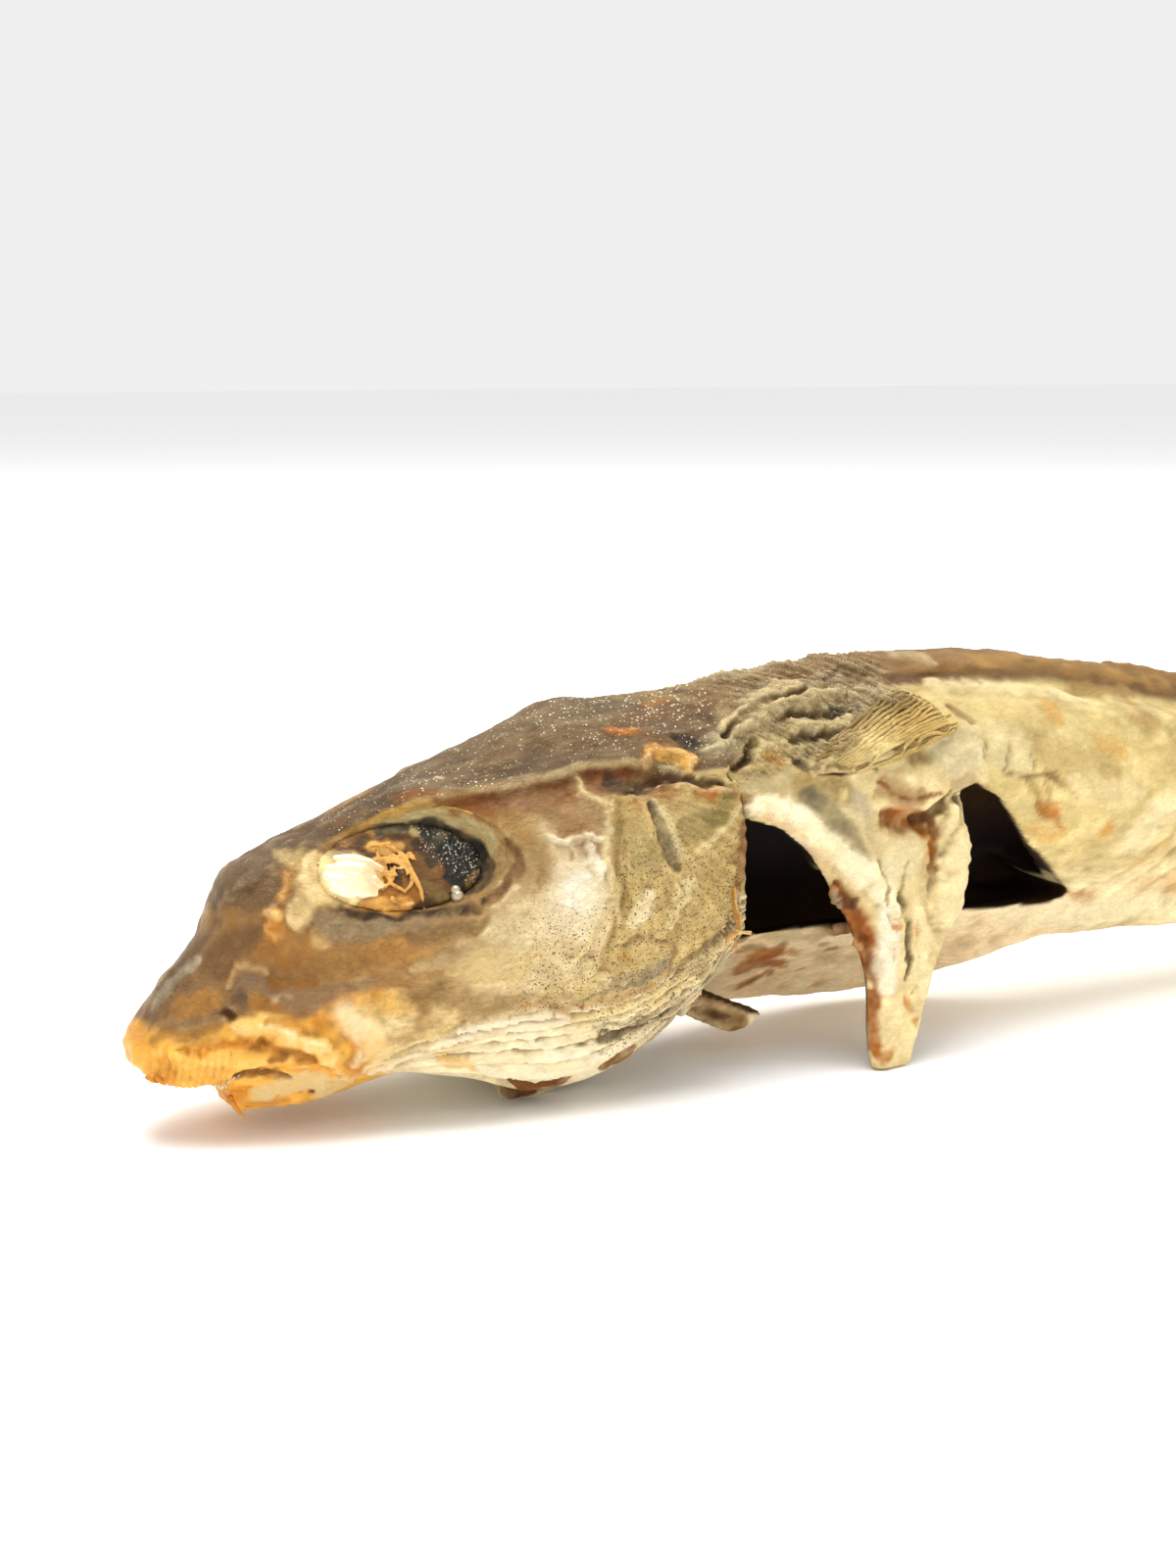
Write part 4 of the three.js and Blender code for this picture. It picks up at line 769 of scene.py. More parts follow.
skin.draw(
    ([(74.3, 55.7), (83.6, 56.5), (91.7, 58.4), (98.9, 59.7)], 3, "#86653c", 0.75),
    ([(99.3, -3, 60), (107.5, -3, 61.2), (115.7, -2, 61.9), (126.2, -3, 61.5), (141.3, -4, 59.8)], 2.6,
     "#8c6a3a", 0.85, 0.3),
    ([(85.5, 0, 58.9), (91.8, 0, 59.6), (97.9, 0, 60.7), (100.7, -1, 61.1)], 1, "#bca882", 0.85, 0.4),
    ([(125.9, -2, 62.1), (129.7, -3, 61.5), (132.9, -4, 60.8)], 2, "#c4b48d", 0.7, 0.2),
    ([(114.3, 60.6), (124, 59.1), (131.9, 58.2), (140.3, 57.2)], 1.6, "#6b4a22", 0.85, -0.3),
    ([(77.2, -2, 58.2), (84.5, -2, 58.4), (89.1, -5, 57.4)], 1.5, "#c0ab80", 0.5),
    ([(80.3, 57.5), (82, 57.8), (84, 57.9)], 1.2, "#b0803c", 0.7),
    ([(81.4, 53.6), (84.5, 52.2), (87.3, 52.2)], 1.4, "#40382c", 0.9, -0.7),
    ([(85.8, 51), (87.8, 51.6), (91.3, 52.8)], 2.6, "#b3a78b", 0.9, 1.3),
    ([(89.4, 53.5), (94.9, 55.7), (99.9, 57.6), (105.2, 58.9), (109.4, 59.1)], 1.7, "#d0c095", 0.95, 1.3),
    ([(88.8, 52.4), (93, 54.1), (97.8, 56), (102.7, 57.5), (106.8, 58.5)], 1, "#3f3422", 0.95, -1),
    ([(91.9, 53), (96.2, 54.8), (100.7, 56.1), (106.5, 57.3), (111.3, 57.6), (113.7, 57.2)], 2, "#d3c29a",
     0.9, 1.5),
    ([(105.8, 59.1), (110.2, 59.5)], 1, "#6b5b40", 0.6, -0.3),
    ([(87.9, -18, 47.9), (92, -14, 49.4), (94.4, -13, 51.9)], 1.1, "#3b3021", 0.95, -1.3),
    ([(99, 54.2), (102.4, 55.1), (107.4, 55.2), (111.4, 55)], 0.9, "#5a4a30", 0.85, -0.9),
    ([(98.5, 55.6), (103.6, 56.8), (107.9, 56.6)], 1.2, "#c8b78c", 0.8, 0.3),
    ([(108.8, -11, 55.7), (111.4, -12, 55.2), (112.7, -14, 55.6)], 1.1, "#3f372a", 0.9, -0.6),
    ([(110.9, 59.4), (113.8, 60.1)], 1, "#4a4134", 0.8, -0.5),
    ([(112.2, -8, 58.2), (116, -7, 59), (118.8, -8, 58.4)], 2, "#8d7755", 0.9, 0.3),
    ([(100.7, 53), (106.3, 53.5), (110.8, 54.3)], 1.6, "#d3c497", 0.9, 1.1),
    ([(94.6, 51.9), (98.8, 52.9), (101.4, 54.3)], 1.6, "#b7a67a", 0.7, 0.3),
    ([(94.2, 50.7), (98, 50.9), (101.5, 51.3)], 1.8, "#cbbb8d", 0.85, 0.8),
    ([(99.2, -14, 51.7), (103.2, -14, 52), (107.1, -14, 52.2), (109.5, -16, 53.4)], 0.9, "#4b3f2b", 0.85,
     -0.8),
    ([(92, 48), (96.4, 48.5), (99.7, 48.3)], 1.1, "#cdb27c", 0.8, 0.3),
    ([(95.8, 49.6), (97.6, 49.3)], 1.2, "#c08d45", 0.6),
    ([(100.7, 48.5), (101.8, 47.8)], 1.3, "#35302c", 0.95, -0.6),
    ([(103, -16, 47.7), (105.4, -19, 47.7), (109.5, -19, 47.6), (114.2, -17, 46.6)], 0.8, "#7d6a48", 0.8,
     -0.4),
    ([(115.6, 49.7), (119.9, 51.9), (125.4, 54.5)], 3, "#856d41", 0.9),
    ([(120.3, 48.7), (125, 50), (129.8, 51)], 2.6, "#8c7446", 0.85),
    ([(113.7, 53.9), (119, 55.6), (123.4, 56.3)], 2, "#78633c", 0.9),
    ([(106.4, 49.5), (111, 50.5), (115, 49.4)], 2.2, "#d2c297", 0.8, 0.2),
    ([(114.4, -17, 52.3), (120.9, -16, 53.5), (127.9, -17, 52.6)], 3.2, "#967e4e", 0.85),
    ([(113.9, 54.3), (117.5, 55.3), (122.5, 56)], 1.6, "#7b6642", 0.8),
    ([(124.2, 49.3), (128.8, 47.6), (133.1, 48.1)], 3.2, "#ccc2a0", 0.8, 0.2),
    ([(130.5, 52.6), (133.1, 50.3)], 1.6, "#d3c391", 0.8, 0.2),
)

# ---- Flank --------------------------------------------------------------------------------------
# Straw skin, greyish where it is thin and clear, cream along the belly's edge, stained
# rust where blood and fat have run.
side_skin = trunk * (1 - skin.above(BACK, 1.5)) * (1 - nape)
skin.paint(side_skin, "#dac994")
skin.paint(side_skin * smooth(0, 0.7, skin.waves[8.0]) * 0.5, "#cdbd91")
skin.paint(side_skin * smooth(0.1, 0.8, skin.flow) * 0.35, "#b9a36b")
skin.paint(side_skin * smooth(32, 16, z_on) * 0.8, "#f4e8c4")
skin.draw(
    ([(129.1, -8, 57.3), (140.5, -8, 56.6), (155.1, -8, 54.2), (162.6, -10, 52.5)], 2, "#e3d6ac", 0.8, 0.5),
    ([(131.3, 54.5), (132.4, 53.3), (133.4, 51.9)], 1.2, "#937443", 0.7, -0.4),
    ([(137.3, 54.2), (142.1, 53.1), (147, 51.5)], 2.4, "#d8c68e", 0.6),
    ([(151.5, -11, 54.1), (149.9, -14, 52.6), (149.9, -15, 51.1)], 1.8, "#cd9f52", 0.7, 0.2),
    ([(157.4, 47.9), (165, 44.9)], 1.6, "#d8ab62", 0.6),
    ([(126, 47.1), (131.6, 48.8), (137.5, 48.7), (142.1, 45.7)], 4.5, "#e2d8b6", 0.5, 0.25),
    ([(127.3, 47.4), (131.3, 47.5)], 2, "#cbbf9c", 0.6),
    ([(142, 43.8), (144.8, 39.8), (147.4, 35.6)], 1.2, "#b39a62", 0.65, -0.4),
    ([(146, 42.1), (147.9, 38), (148.4, 34.5)], 0.9, "#9c7a45", 0.6, -0.3),
    ((148.9, 36.7), 2, "#c2863a", 0.85),
    ([(144.7, 39.1), (150.4, 35.1), (151.9, 33.1)], 0.9, "#b47a38", 0.75),
    ([(147.1, 43.1), (152, 39.9), (152.9, 37.9)], 0.8, "#a98655", 0.7, -0.3),
    ([(135.6, 45.8), (142, 43.5), (149, 42.9)], 0.7, "#a08c62", 0.75, -0.4),
    ([(135.1, 49.8), (133.5, 46.9)], 0.6, "#b5a884", 0.7, -0.4),
    ([(139.4, 48.9), (138.3, 45.6)], 0.6, "#b5a884", 0.7, -0.4),
    ([(143.5, 47.8), (143.6, 44.4)], 0.6, "#b09f76", 0.7, -0.4),
    ([(145.1, 33.8), (149.7, 32.3), (152.1, 33.1)], 1.4, "#d6a65c", 0.6),
    ((161.3, 32.7), 1.8, "#d09d4c", 0.75),
    ([(146.7, 46.2), (154, 44.2), (161.7, 42.5)], 3.4, "#c4ae7c", 0.7),
    ([(151.5, 42.1), (158.8, 39.5), (168.3, 37.9)], 2.6, "#e0d2a8", 0.6, 0.3),
    ([(158.7, 54.7), (166.5, 53.8), (174.5, 52.7)], 1.7, "#a78a58", 0.85),
    ([(139.1, -16, 38.1), (144.2, -14, 32.8), (154.8, -7, 25), (161.8, -6, 20.1)], 1.4, "#ecdfb6", 0.7,
     0.2),
    ([(163.9, 18.7), (167, 17.2)], 1.8, "#b78446", 0.8),
    ([(146.1, -3, 18.9), (158.2, -3, 15.8), (170.4, -3, 14.5), (181.9, -5, 15.8)], 4, "#f5ebc9", 0.85, 0.2),
    ([(167.4, 28.3), (172.2, 33), (176.2, 34.5)], 4, "#f0e6c4", 0.6),
)

# ---- Shoulder girdle and leg --------------------------------------------------------------------
# The bone behind the gill slit stands free: a smooth cream band round the slit, a grey web
# behind it, and a leg of dried flesh that props the fish up, split by long grooves.
girdle = trunk * (1 - skin.behind(134, 1.5)) * outer * left_side
girdle *= 1 - skin.above([(90, 46), (104, 48.5), (134, 47)], 1.2)
skin.paint(girdle, "#e6d5a8")
skin.paint(girdle * smooth(0, 0.7, skin.waves[3.5]) * 0.35, "#c9ba90")
skin.layers["pepper"] += girdle * smooth(22, 34, z_on) * smooth(118, 108, x_on) * 0.4
skin.draw(
    ([(92.8, 45.6), (96.7, 44.5), (100.6, 45.1)], 3.2, "#bbad88", 0.75),
    ([(100.6, 45.4), (104.1, 45.3), (108.2, 44.2)], 2.8, "#ac9666", 0.85),
    ([(101.5, 43.9), (103.8, 41.9), (106.1, 38.9), (108.5, 35.8), (110.8, 32.5)], 2.4, "#8f856b", 0.9,
     -0.3),
    ([(101.1, 43.3), (103.2, 42.2)], 1.6, "#756d5c", 0.6),
    ([(111.9, 40.2), (113, 36.4), (114.2, 31.5)], 1.6, "#b8ab88", 0.6),
    ([(107.6, 45.1), (106.8, 42.9)], 0.8, "#dccb95", 0.7, 0.4),
    ([(109.6, 42.4), (111.4, 40.6)], 2.4, "#b9af9b", 0.7),
    ([(91.8, 42.7), (97.6, 41.2), (102.1, 37.5), (108, 32.7), (113.1, 28.8), (116.3, 25.6)], 2.6, "#faf0d2",
     0.95, 1, 0.5),
    ([(97.6, 41.4), (100.3, 41.2)], 1.6, "#f7f0d8", 0.8, 0.2),
    ([(110.7, 16, 32.8), (116.9, 16, 30), (102, -17, 34.7), (105.1, -18, 31.4), (108.9, -19, 29)], 1.7,
     "#dcc597", 0.75),
    ([(93.1, 41.1), (97.7, 39.1), (100.6, 37.5)], 0.8, "#e5c68e", 0.6),
    ([(110.7, 16, 31.8), (115.7, 16, 29.5), (102.9, -13, 34), (103.4, -17, 32.2)], 0.6, "#9d682a", 0.85),
    ([(105.6, 29.3), (107.4, 26.3), (109, 22.4), (110.4, 18.2), (111.1, 15)], 2.4, "#9a560c", 1),
    ([(109.2, 22.4), (110.3, 18.9), (110.8, 15.6)], 0.8, "#5f3408", 0.8, -0.2),
    ([(105.1, 30.6), (106.9, 28.3), (109, 24.7)], 0.7, "#6b3d0e", 0.9, 0.2),
    ([(107.2, 26.6), (109.7, 26.6)], 0.8, "#55300f", 0.9, -0.3),
    ([(109, 24.7), (109.5, 22.4)], 0.9, "#8a5420", 0.6),
    ([(105.2, -18, 29.2), (106.4, -18, 26.9), (116, -6, 19.8), (108.9, -20, 20.3)], 2.4, "#9a560c", 1, 1.4),
    ([(105.7, 28.9), (106.9, 27.9), (108.1, 26.3)], 1.2, "#5f3a14", 0.85),
    ([(88.2, 10.2), (92.6, 8), (97.5, 5.3)], 2.4, "#96744a", 0.95),
    ([(89.5, 9), (95.3, 5.9)], 0.8, "#5f4526", 0.85, -0.3),
    ([(53.6, 2.5), (56.1, 1.2), (58, 1.5)], 1.6, "#7d5830", 0.95),
    ([(110.6, -21, 13), (110.5, -22, 8.1), (111.7, -22, 3.8)], 1.5, "#ab661f", 0.95),
    ([(110.8, 15.3), (110.9, 11.4), (111.1, 7.5)], 0.7, "#8a4d12", 0.8),
    ([(114.1, 25.2), (115, 22), (114.5, 17.3)], 0.7, "#c7a468", 0.8, -0.3),
    ([(116.2, 11.2), (117.8, 8.5), (118.2, 5.9)], 0.9, "#c08136", 0.8),
    ([(111.7, 3.5), (114.2, 2.6)], 1.2, "#b36f25", 0.9),
    ([(119.5, 25.8), (119.7, 21.3), (119.1, 16.6), (118.4, 11.7)], 0.5, "#b07a35", 0.8, -0.3),
    ([(113.2, 25.8), (114, 22.1), (113.2, 17.4), (112.5, 12.7)], 2.4, "#f3edd9", 0.9, 0.2),
    ([(114.7, 22.3), (116.3, 22.5)], 0.9, "#c47a2a", 0.85),
    ((119.7, 21.5), 0.9, "#c78637", 0.8),
    ((121.1, 18.8), 0.8, "#d2a358", 0.8),
    ((117.6, 10.7), 0.8, "#d39b4c", 0.8),
    ([(116.9, 27.2), (118.1, 23.2), (117.9, 19.1), (116.4, 13.8)], 0.8, "#7d6f4e", 0.95, -0.9),
    ([(119, 32.2), (118, 29.8), (117, 26.8)], 0.7, "#a08a5c", 0.8, -0.4),
    ([(113.1, 32.9), (114.1, 29), (114.5, 25.8)], 0.6, "#a99468", 0.8, -0.35),
    ([(119.6, 24.5), (121, 21.1), (119.7, 16.5), (119.1, 12.4)], 1.8, "#f1e4bb", 0.85, 0.45),
    ([(115.4, 31.4), (118.3, 32.3), (120.7, 34.2)], 3.4, "#e6ddbb", 0.8),
    ([(124.6, 39), (123.9, 34.2), (123.5, 30.4), (123.1, 27.2)], 0.9, "#96601f", 0.95, -0.9),
    ([(122.6, 36.9), (122.9, 33), (122.4, 29.2)], 1.2, "#b5752b", 0.85),
    ([(129.3, 41.1), (128.1, 38), (126.2, 35.1), (124.8, 31.6)], 1.1, "#7d735d", 0.9, -0.8),
    ([(126.9, 39.8), (125.7, 36.7), (124.6, 33.5)], 0.8, "#cdb47d", 0.7, 0.3),
    ([(127.2, 38.8), (127.8, 35.8), (127.7, 31.3), (126, 27), (123.9, 22.5)], 3.2, "#eddfb4", 0.95, 2.6),
    ([(128.6, 39.6), (130.7, 36.1), (152.4, 24.9)], 1.8, "#b9a06c", 0.6),
    ([(123.3, 25.4), (122.4, 29.2), (122.3, 32.4)], 1.4, "#d9cba0", 0.7),
    ([(114.4, 44.2), (118.4, 42.2), (121.6, 41.9)], 2.2, "#a5865e", 0.85, -0.6),
    ([(115.6, 38.9), (119.7, 37.5), (123.3, 38)], 2.6, "#945a1a", 0.95, -1.2),
    ([(121, 37.7), (123, 38.4), (124.9, 40), (127, 42.6)], 1.1, "#5a3510", 0.9, -0.7),
    ([(113.7, 44.8), (114.8, 44), (118, 42.6), (120.9, 41.8), (125.3, 42.7)], 0.6, "#875323", 0.85),
    ([(116.7, 40.8), (118.6, 40.1), (118.2, 39)], 0.5, "#b9712b", 0.8, 0.2),
    ([(123.5, 35.9), (123.7, 33)], 0.8, "#bf7d35", 0.7),
    ([(113.8, 36.2), (118.1, 34.8), (122, 34.3)], 2.2, "#e0d2a8", 0.75, 0.2),
    ([(114, 7.6), (116.6, 4.6), (117.5, 2.3)], 1.6, "#f2e2b3", 0.85, 0.2),
    ((120.2, 8.4), 0.9, "#9c5c20", 0.9, -0.4),
    ([(114, 6.9), (114.9, 4.4)], 0.6, "#d9c48f", 0.6, 0.4),
    ([(127.5, -19, 43.6), (131.3, -18, 43), (156, 12, 34.5)], 2, "#a99576", 0.75),
    ([(134.4, -16, 42), (158, 11, 32.7), (158.7, 10, 29.2)], 1.6, "#a8672a", 0.85),
    side=left_side,
)

# ---- Belly strip and lining ---------------------------------------------------------------------
# Inside, the belly is black brown. The strip of belly wall below the slit is cream, with a
# rust stain where it was cut.
strip = trunk * (1 - skin.behind(HOLLOW_END, 4)) * outer
strip *= smooth(20.5, 18, skin.spot[:, 2]) * smooth(-24, -8, skin.spot[:, 1])
skin.paint(strip * 0.95, "#fbe6c2")
skin.paint(strip * smooth(0.0, 0.7, skin.flow) * 0.4, "#e0c392")
skin.draw(
    ([(101.8, 11.4), (103.1, 13.4), (105.4, 14.7), (107.1, 15)], 2.4, "#a96422", 0.95, 0.2),
    ([(101.7, 14.4), (103.5, 15.5)], 1.6, "#c28444", 0.8),
    ([(104.3, 11.8), (106.7, 12.4), (108.6, 11.7)], 1.4, "#99551f", 0.9),
    ([(104, 7.4), (106.5, 9.3)], 1.5, "#a2602a", 0.95),
    ([(107.7, 2, 12.7), (110.4, 3, 11.4)], 1.1, "#bf7d3e", 0.7),
    ([(86.3, 23.5), (97.7, 17.8)], 1.6, "#c48d4c", 0.75),
    ([(117.1, 0, 14.1), (119, 0, 13.6)], 0.9, "#84521f", 0.85),
    ((105.1, -5, 19.6), 0.4, "#9c4a18", 0.9),
    ((114.2, 4, 10), 0.7, "#c48a4a", 0.7),
    ([(99.3, 15.3), (100.3, 16.2)], 1, "#b8742e", 0.85),
    ([(106.9, 10.6), (109.1, 9.3)], 0.9, "#b0702e", 0.8),
    ([(104.6, 9.1), (106.8, 8.1)], 0.7, "#8f4d18", 0.85),
    ([(108.6, 0, 14.4), (111.3, 1, 13.6)], 0.9, "#c08a4c", 0.7),
    ([(86.1, -21, 25.1), (111.4, 16, 14.1), (104, -2, 19.5)], 1.4, "#8f7348", 0.75),
    ([(109.4, -3, 19.8), (126.2, 17, 14.3), (129.8, 17, 15.2)], 1.1, "#b7a06f", 0.7),
    ([(104, -3, 18.1), (109.5, -3, 17.5), (113, -4, 17.5)], 2, "#cfc19a", 0.6),
)
skin.paint(skin.inner, "#2b1a0d")
skin.paint(skin.inner * smooth(24, 12, skin.spot[:, 2]) * 0.7, "#5f411f")
skin.paint(skin.inner * smooth(142, 152, x_on) * smooth(26, 40, z_on) * 0.8, "#7d5a33")

# ---- Tail ---------------------------------------------------------------------------------------
# Behind the belly the flesh has shrunk on to the backbone, so the folds of its muscle and the
# line along its middle show faintly, and the fins are dry rays.
MUSCLE_FOLD = 5.5
TAIL_ROOT = 325
tail = skin.behind(225, 20)
skin.paint(tail * 0.5, "#bd9f63")
middle_line = np.interp(x_on, [140, 200, 260, 320], [36, 28, 18, 11])
muscle = x_on + 0.9 * np.abs(z_on - middle_line) + 1.2 * skin.waves[8.0]
muscle = np.cos(2 * math.pi * muscle / MUSCLE_FOLD)
bare = side_skin * skin.behind(170, 12) * (1 - skin.behind(318, 4)) * (0.6 + 0.5 * skin.waves[8.0])
skin.rise += bare * 0.13 * muscle
skin.paint(bare * smooth(0.2, 0.9, -muscle) * 0.35, "#a98a55")
skin.rise -= bare * 0.3 * np.exp(-((z_on - middle_line) / 0.6) ** 2)
skin.paint(bare * np.exp(-((z_on - middle_line) / 0.7) ** 2) * 0.4, "#a3834c")
skin.paint(bare * smooth(0.45, 0.8, skin.waves[8.0] + 0.4 * skin.waves[3.5]) * 0.6, "#c08f4d")
skin.paint(skin.behind(322, 3), "#a3814a")
apart = 1.7 + 0.03 * np.maximum(x_on - TAIL_ROOT, 0)
fin_rays = np.cos(2 * math.pi * (z_on - 11 + 0.4 * skin.waves[3.5]) / apart)
tail_fin = skin.behind(TAIL_ROOT + 1, 2)
skin.rise += tail_fin * 0.25 * fin_rays
skin.paint(tail_fin * smooth(0.1, 0.9, fin_rays) * 0.6, "#d3b67c")

# ---- The skin's surface -------------------------------------------------------------------------
# The finished skin, one material for all of the fish: layers say where it is peppered with
# pigment, salted, glossy with fat, scaly or gritty. What faces up is darkened with painted shade.
skin.rise += outer * (0.035 * skin.waves[0.8] + 0.05 * skin.waves[1.7])
skin.layers["grit"] += outer * (0.2 + 0.6 * head + 0.8 * nape) * (1 - 0.6 * membrane)
skin.set_hard(top_shade=0.3)


def add_node(tree, kind, inputs=None, **settings):
    """Adds a shader node with its settings; an input is a value or the output that feeds it."""
    node = tree.nodes.new(kind)
    for name, value in settings.items():
        setattr(node, name, value)
    for name, value in (inputs or {}).items():
        if isinstance(value, bpy.types.NodeSocket):
            tree.links.new(value, node.inputs[name])
        else:
            node.inputs[name].default_value = value
    return node


def set_inputs(node, values):
    """Sets plain numbers and colours on a node's own inputs."""
    for name, value in values.items():
        node.inputs[name].default_value = value


PEPPER_SPACING = 0.34
PEPPER_SIZE = 0.19
SCALE_DIMPLE = 1.0


def dried_skin(name, speck=0.55, speck_colour="#cdc0a2", matt=0.66, glossy=0.28):
    """Air-dried fish skin: matt and uneven, mottled from 3 mm down to a third of a millimetre, and
    glossy in a thin waxy film where fat has come through. Its pigment dots, salt grains and
    scales are finer than a render can hold, so they are drawn as coarse as they need to show."""
    material = bpy.data.materials.new(name)
    material.use_nodes = True
    tree = material.node_tree
    shader = tree.nodes["Principled BSDF"]
    place = add_node(tree, "ShaderNodeTexCoord").outputs["Object"]
    layer = {n: add_node(tree, "ShaderNodeAttribute", attribute_name=n).outputs["Fac"]
             for n in ("pepper", "salt", "sheen", "scales", "grit")}
    base = add_node(tree, "ShaderNodeAttribute", attribute_name="tint").outputs["Color"]

    def dotted(under, spacing, size, amount, colour):
        """Round dots of one colour, one to a cell of the spacing, as large as the amount lets them be."""
        cells = add_node(tree, "ShaderNodeTexVoronoi", {"Vector": place, "Scale": 1 / (spacing * MM)})
        chance = add_node(tree, "ShaderNodeSeparateColor", {"Color": cells.outputs["Color"]}).outputs["Red"]
        radius = add_node(tree, "ShaderNodeMath", {0: chance, 1: amount}, operation="MULTIPLY").outputs[0]
        radius = add_node(tree, "ShaderNodeMath", {0: radius, 1: size / spacing, 2: 0.001},
                          operation="MULTIPLY_ADD").outputs[0]
        reach = add_node(tree, "ShaderNodeMath", {0: cells.outputs["Distance"], 1: radius},
                         operation="DIVIDE").outputs[0]
        dot = add_node(tree, "ShaderNodeMapRange", {"Value": reach, "From Min": 1.1, "From Max": 0.5})
        return add_node(tree, "ShaderNodeMix", {0: dot.outputs["Result"], 6: under, 7: (*linear(colour), 1)},
                        data_type="RGBA").outputs[2]

    def drawn_out(where, stretch):
        """Places pulled out along the fish, so that a pattern on them runs lengthways."""
        return add_node(tree, "ShaderNodeMapping", {"Vector": where, "Scale": (1 / stretch, 1, 1)}).outputs[0]

    def noise(size, stretch, detail=6.0, distortion=0.0):
        """Random mottling of a size in millimetres, drawn out along the fish."""
        drawn = drawn_out(place, stretch)
        return add_node(tree, "ShaderNodeTexNoise",
                        {"Vector": drawn, "Scale": 1 / (size * MM), "Detail": detail, "Roughness": 0.65,
                         "Distortion": distortion}).outputs["Fac"]

    def creased(size, stretch):
        """Fine crossing wrinkles of a size in millimetres: 1 on a crease, 0 between."""
        bent = add_node(tree, "ShaderNodeVectorMath",
                        {0: noise(2.0 * size, 1.0, 3.0), 1: (2.5 * size * MM,) * 3, 2: place},
                        operation="MULTIPLY_ADD").outputs["Vector"]
        edge = add_node(tree, "ShaderNodeTexVoronoi",
                        {"Vector": drawn_out(bent, stretch), "Scale": 1 / (size * MM)},
                        feature="DISTANCE_TO_EDGE").outputs["Distance"]
        return add_node(tree, "ShaderNodeMapRange", {"Value": edge, "From Min": 0.0, "From Max": 0.22,
                                                     "To Min": 1.0, "To Max": 0.0}).outputs["Result"]

    def shaded(colour, value, low, high):
        """A colour made browner or paler by a noise."""
        share = add_node(tree, "ShaderNodeMapRange", {"Value": value, "From Min": 0.3, "From Max": 0.7})
        shade = add_node(tree, "ShaderNodeMix",
                         {0: share.outputs["Result"], 6: (low, 0.97 * low, 0.9 * low, 1),
                          7: (high, high, high, 1)},
                         data_type="RGBA").outputs[2]
        return add_node(tree, "ShaderNodeVectorMath", {0: colour, 1: shade},
                        operation="MULTIPLY").outputs["Vector"]

    creases = creased(1.5, 2.2)
    varied = shaded(base, noise(3.2, 1.4, distortion=0.8), 0.78, 1.18)
    varied = shaded(varied, noise(1.0, 2.0, distortion=1.2), 0.76, 1.2)
    varied = shaded(varied, noise(0.35, 1.6), 0.84, 1.14)
    lined = add_node(tree, "ShaderNodeMapRange", {"Value": creases, "To Min": 1.0, "To Max": 0.84})
    varied = add_node(tree, "ShaderNodeVectorMath", {0: varied, "Scale": lined.outputs["Result"]},
                      operation="SCALE").outputs["Vector"]
    clear = add_node(tree, "ShaderNodeMath", {0: layer["grit"], 1: -0.6, 2: 0.6}, operation="MULTIPLY_ADD")
    clear = add_node(tree, "ShaderNodeMath", {0: layer["sheen"], 1: 0.75, 2: clear.outputs[0]},
                     operation="MULTIPLY_ADD").outputs[0]
    varied = add_node(tree, "ShaderNodeMix", {0: clear, 6: varied, 7: base}, data_type="RGBA").outputs[2]
    specked = dotted(varied, PEPPER_SPACING, PEPPER_SIZE, layer["pepper"], "#4d3c25")
    salted = dotted(specked, speck, 0.48 * speck, layer["salt"], speck_colour)
    tree.links.new(salted, shader.inputs["Base Color"])

    fine = noise(0.6, 1.6, detail=5.0, distortion=0.5)
    scaly = add_node(tree, "ShaderNodeTexVoronoi", {"Vector": place, "Scale": 1 / (SCALE_DIMPLE * MM)},
                     feature="SMOOTH_F1").outputs["Distance"]
    scaly = add_node(tree, "ShaderNodeMath", {0: scaly, 1: layer["scales"]}, operation="MULTIPLY").outputs[0]
    height = add_node(tree, "ShaderNodeMath", {0: fine, 1: scaly}, operation="SUBTRACT").outputs[0]
    height = add_node(tree, "ShaderNodeMath", {0: creases, 1: -0.35, 2: height},
                      operation="MULTIPLY_ADD").outputs[0]
    height = add_node(tree, "ShaderNodeMath", {0: height, 1: layer["grit"]}, operation="MULTIPLY").outputs[0]
    bump = add_node(tree, "ShaderNodeBump", {"Height": height, "Strength": 0.9, "Distance": 0.4 * MM})
    tree.links.new(bump.outputs["Normal"], shader.inputs["Normal"])
    rough = add_node(tree, "ShaderNodeMapRange", {"Value": layer["sheen"], "To Min": matt, "To Max": glossy})
    tree.links.new(rough.outputs["Result"], shader.inputs["Roughness"])
    set_inputs(shader, {"IOR": 1.45, "Specular IOR Level": 0.25, "Subsurface Weight": 0.12,
                        "Subsurface Radius": (1.0, 0.55, 0.25), "Subsurface Scale": 1.2 * MM})
    return material


hide.data.materials.append(dried_skin("air-dried cod skin"))

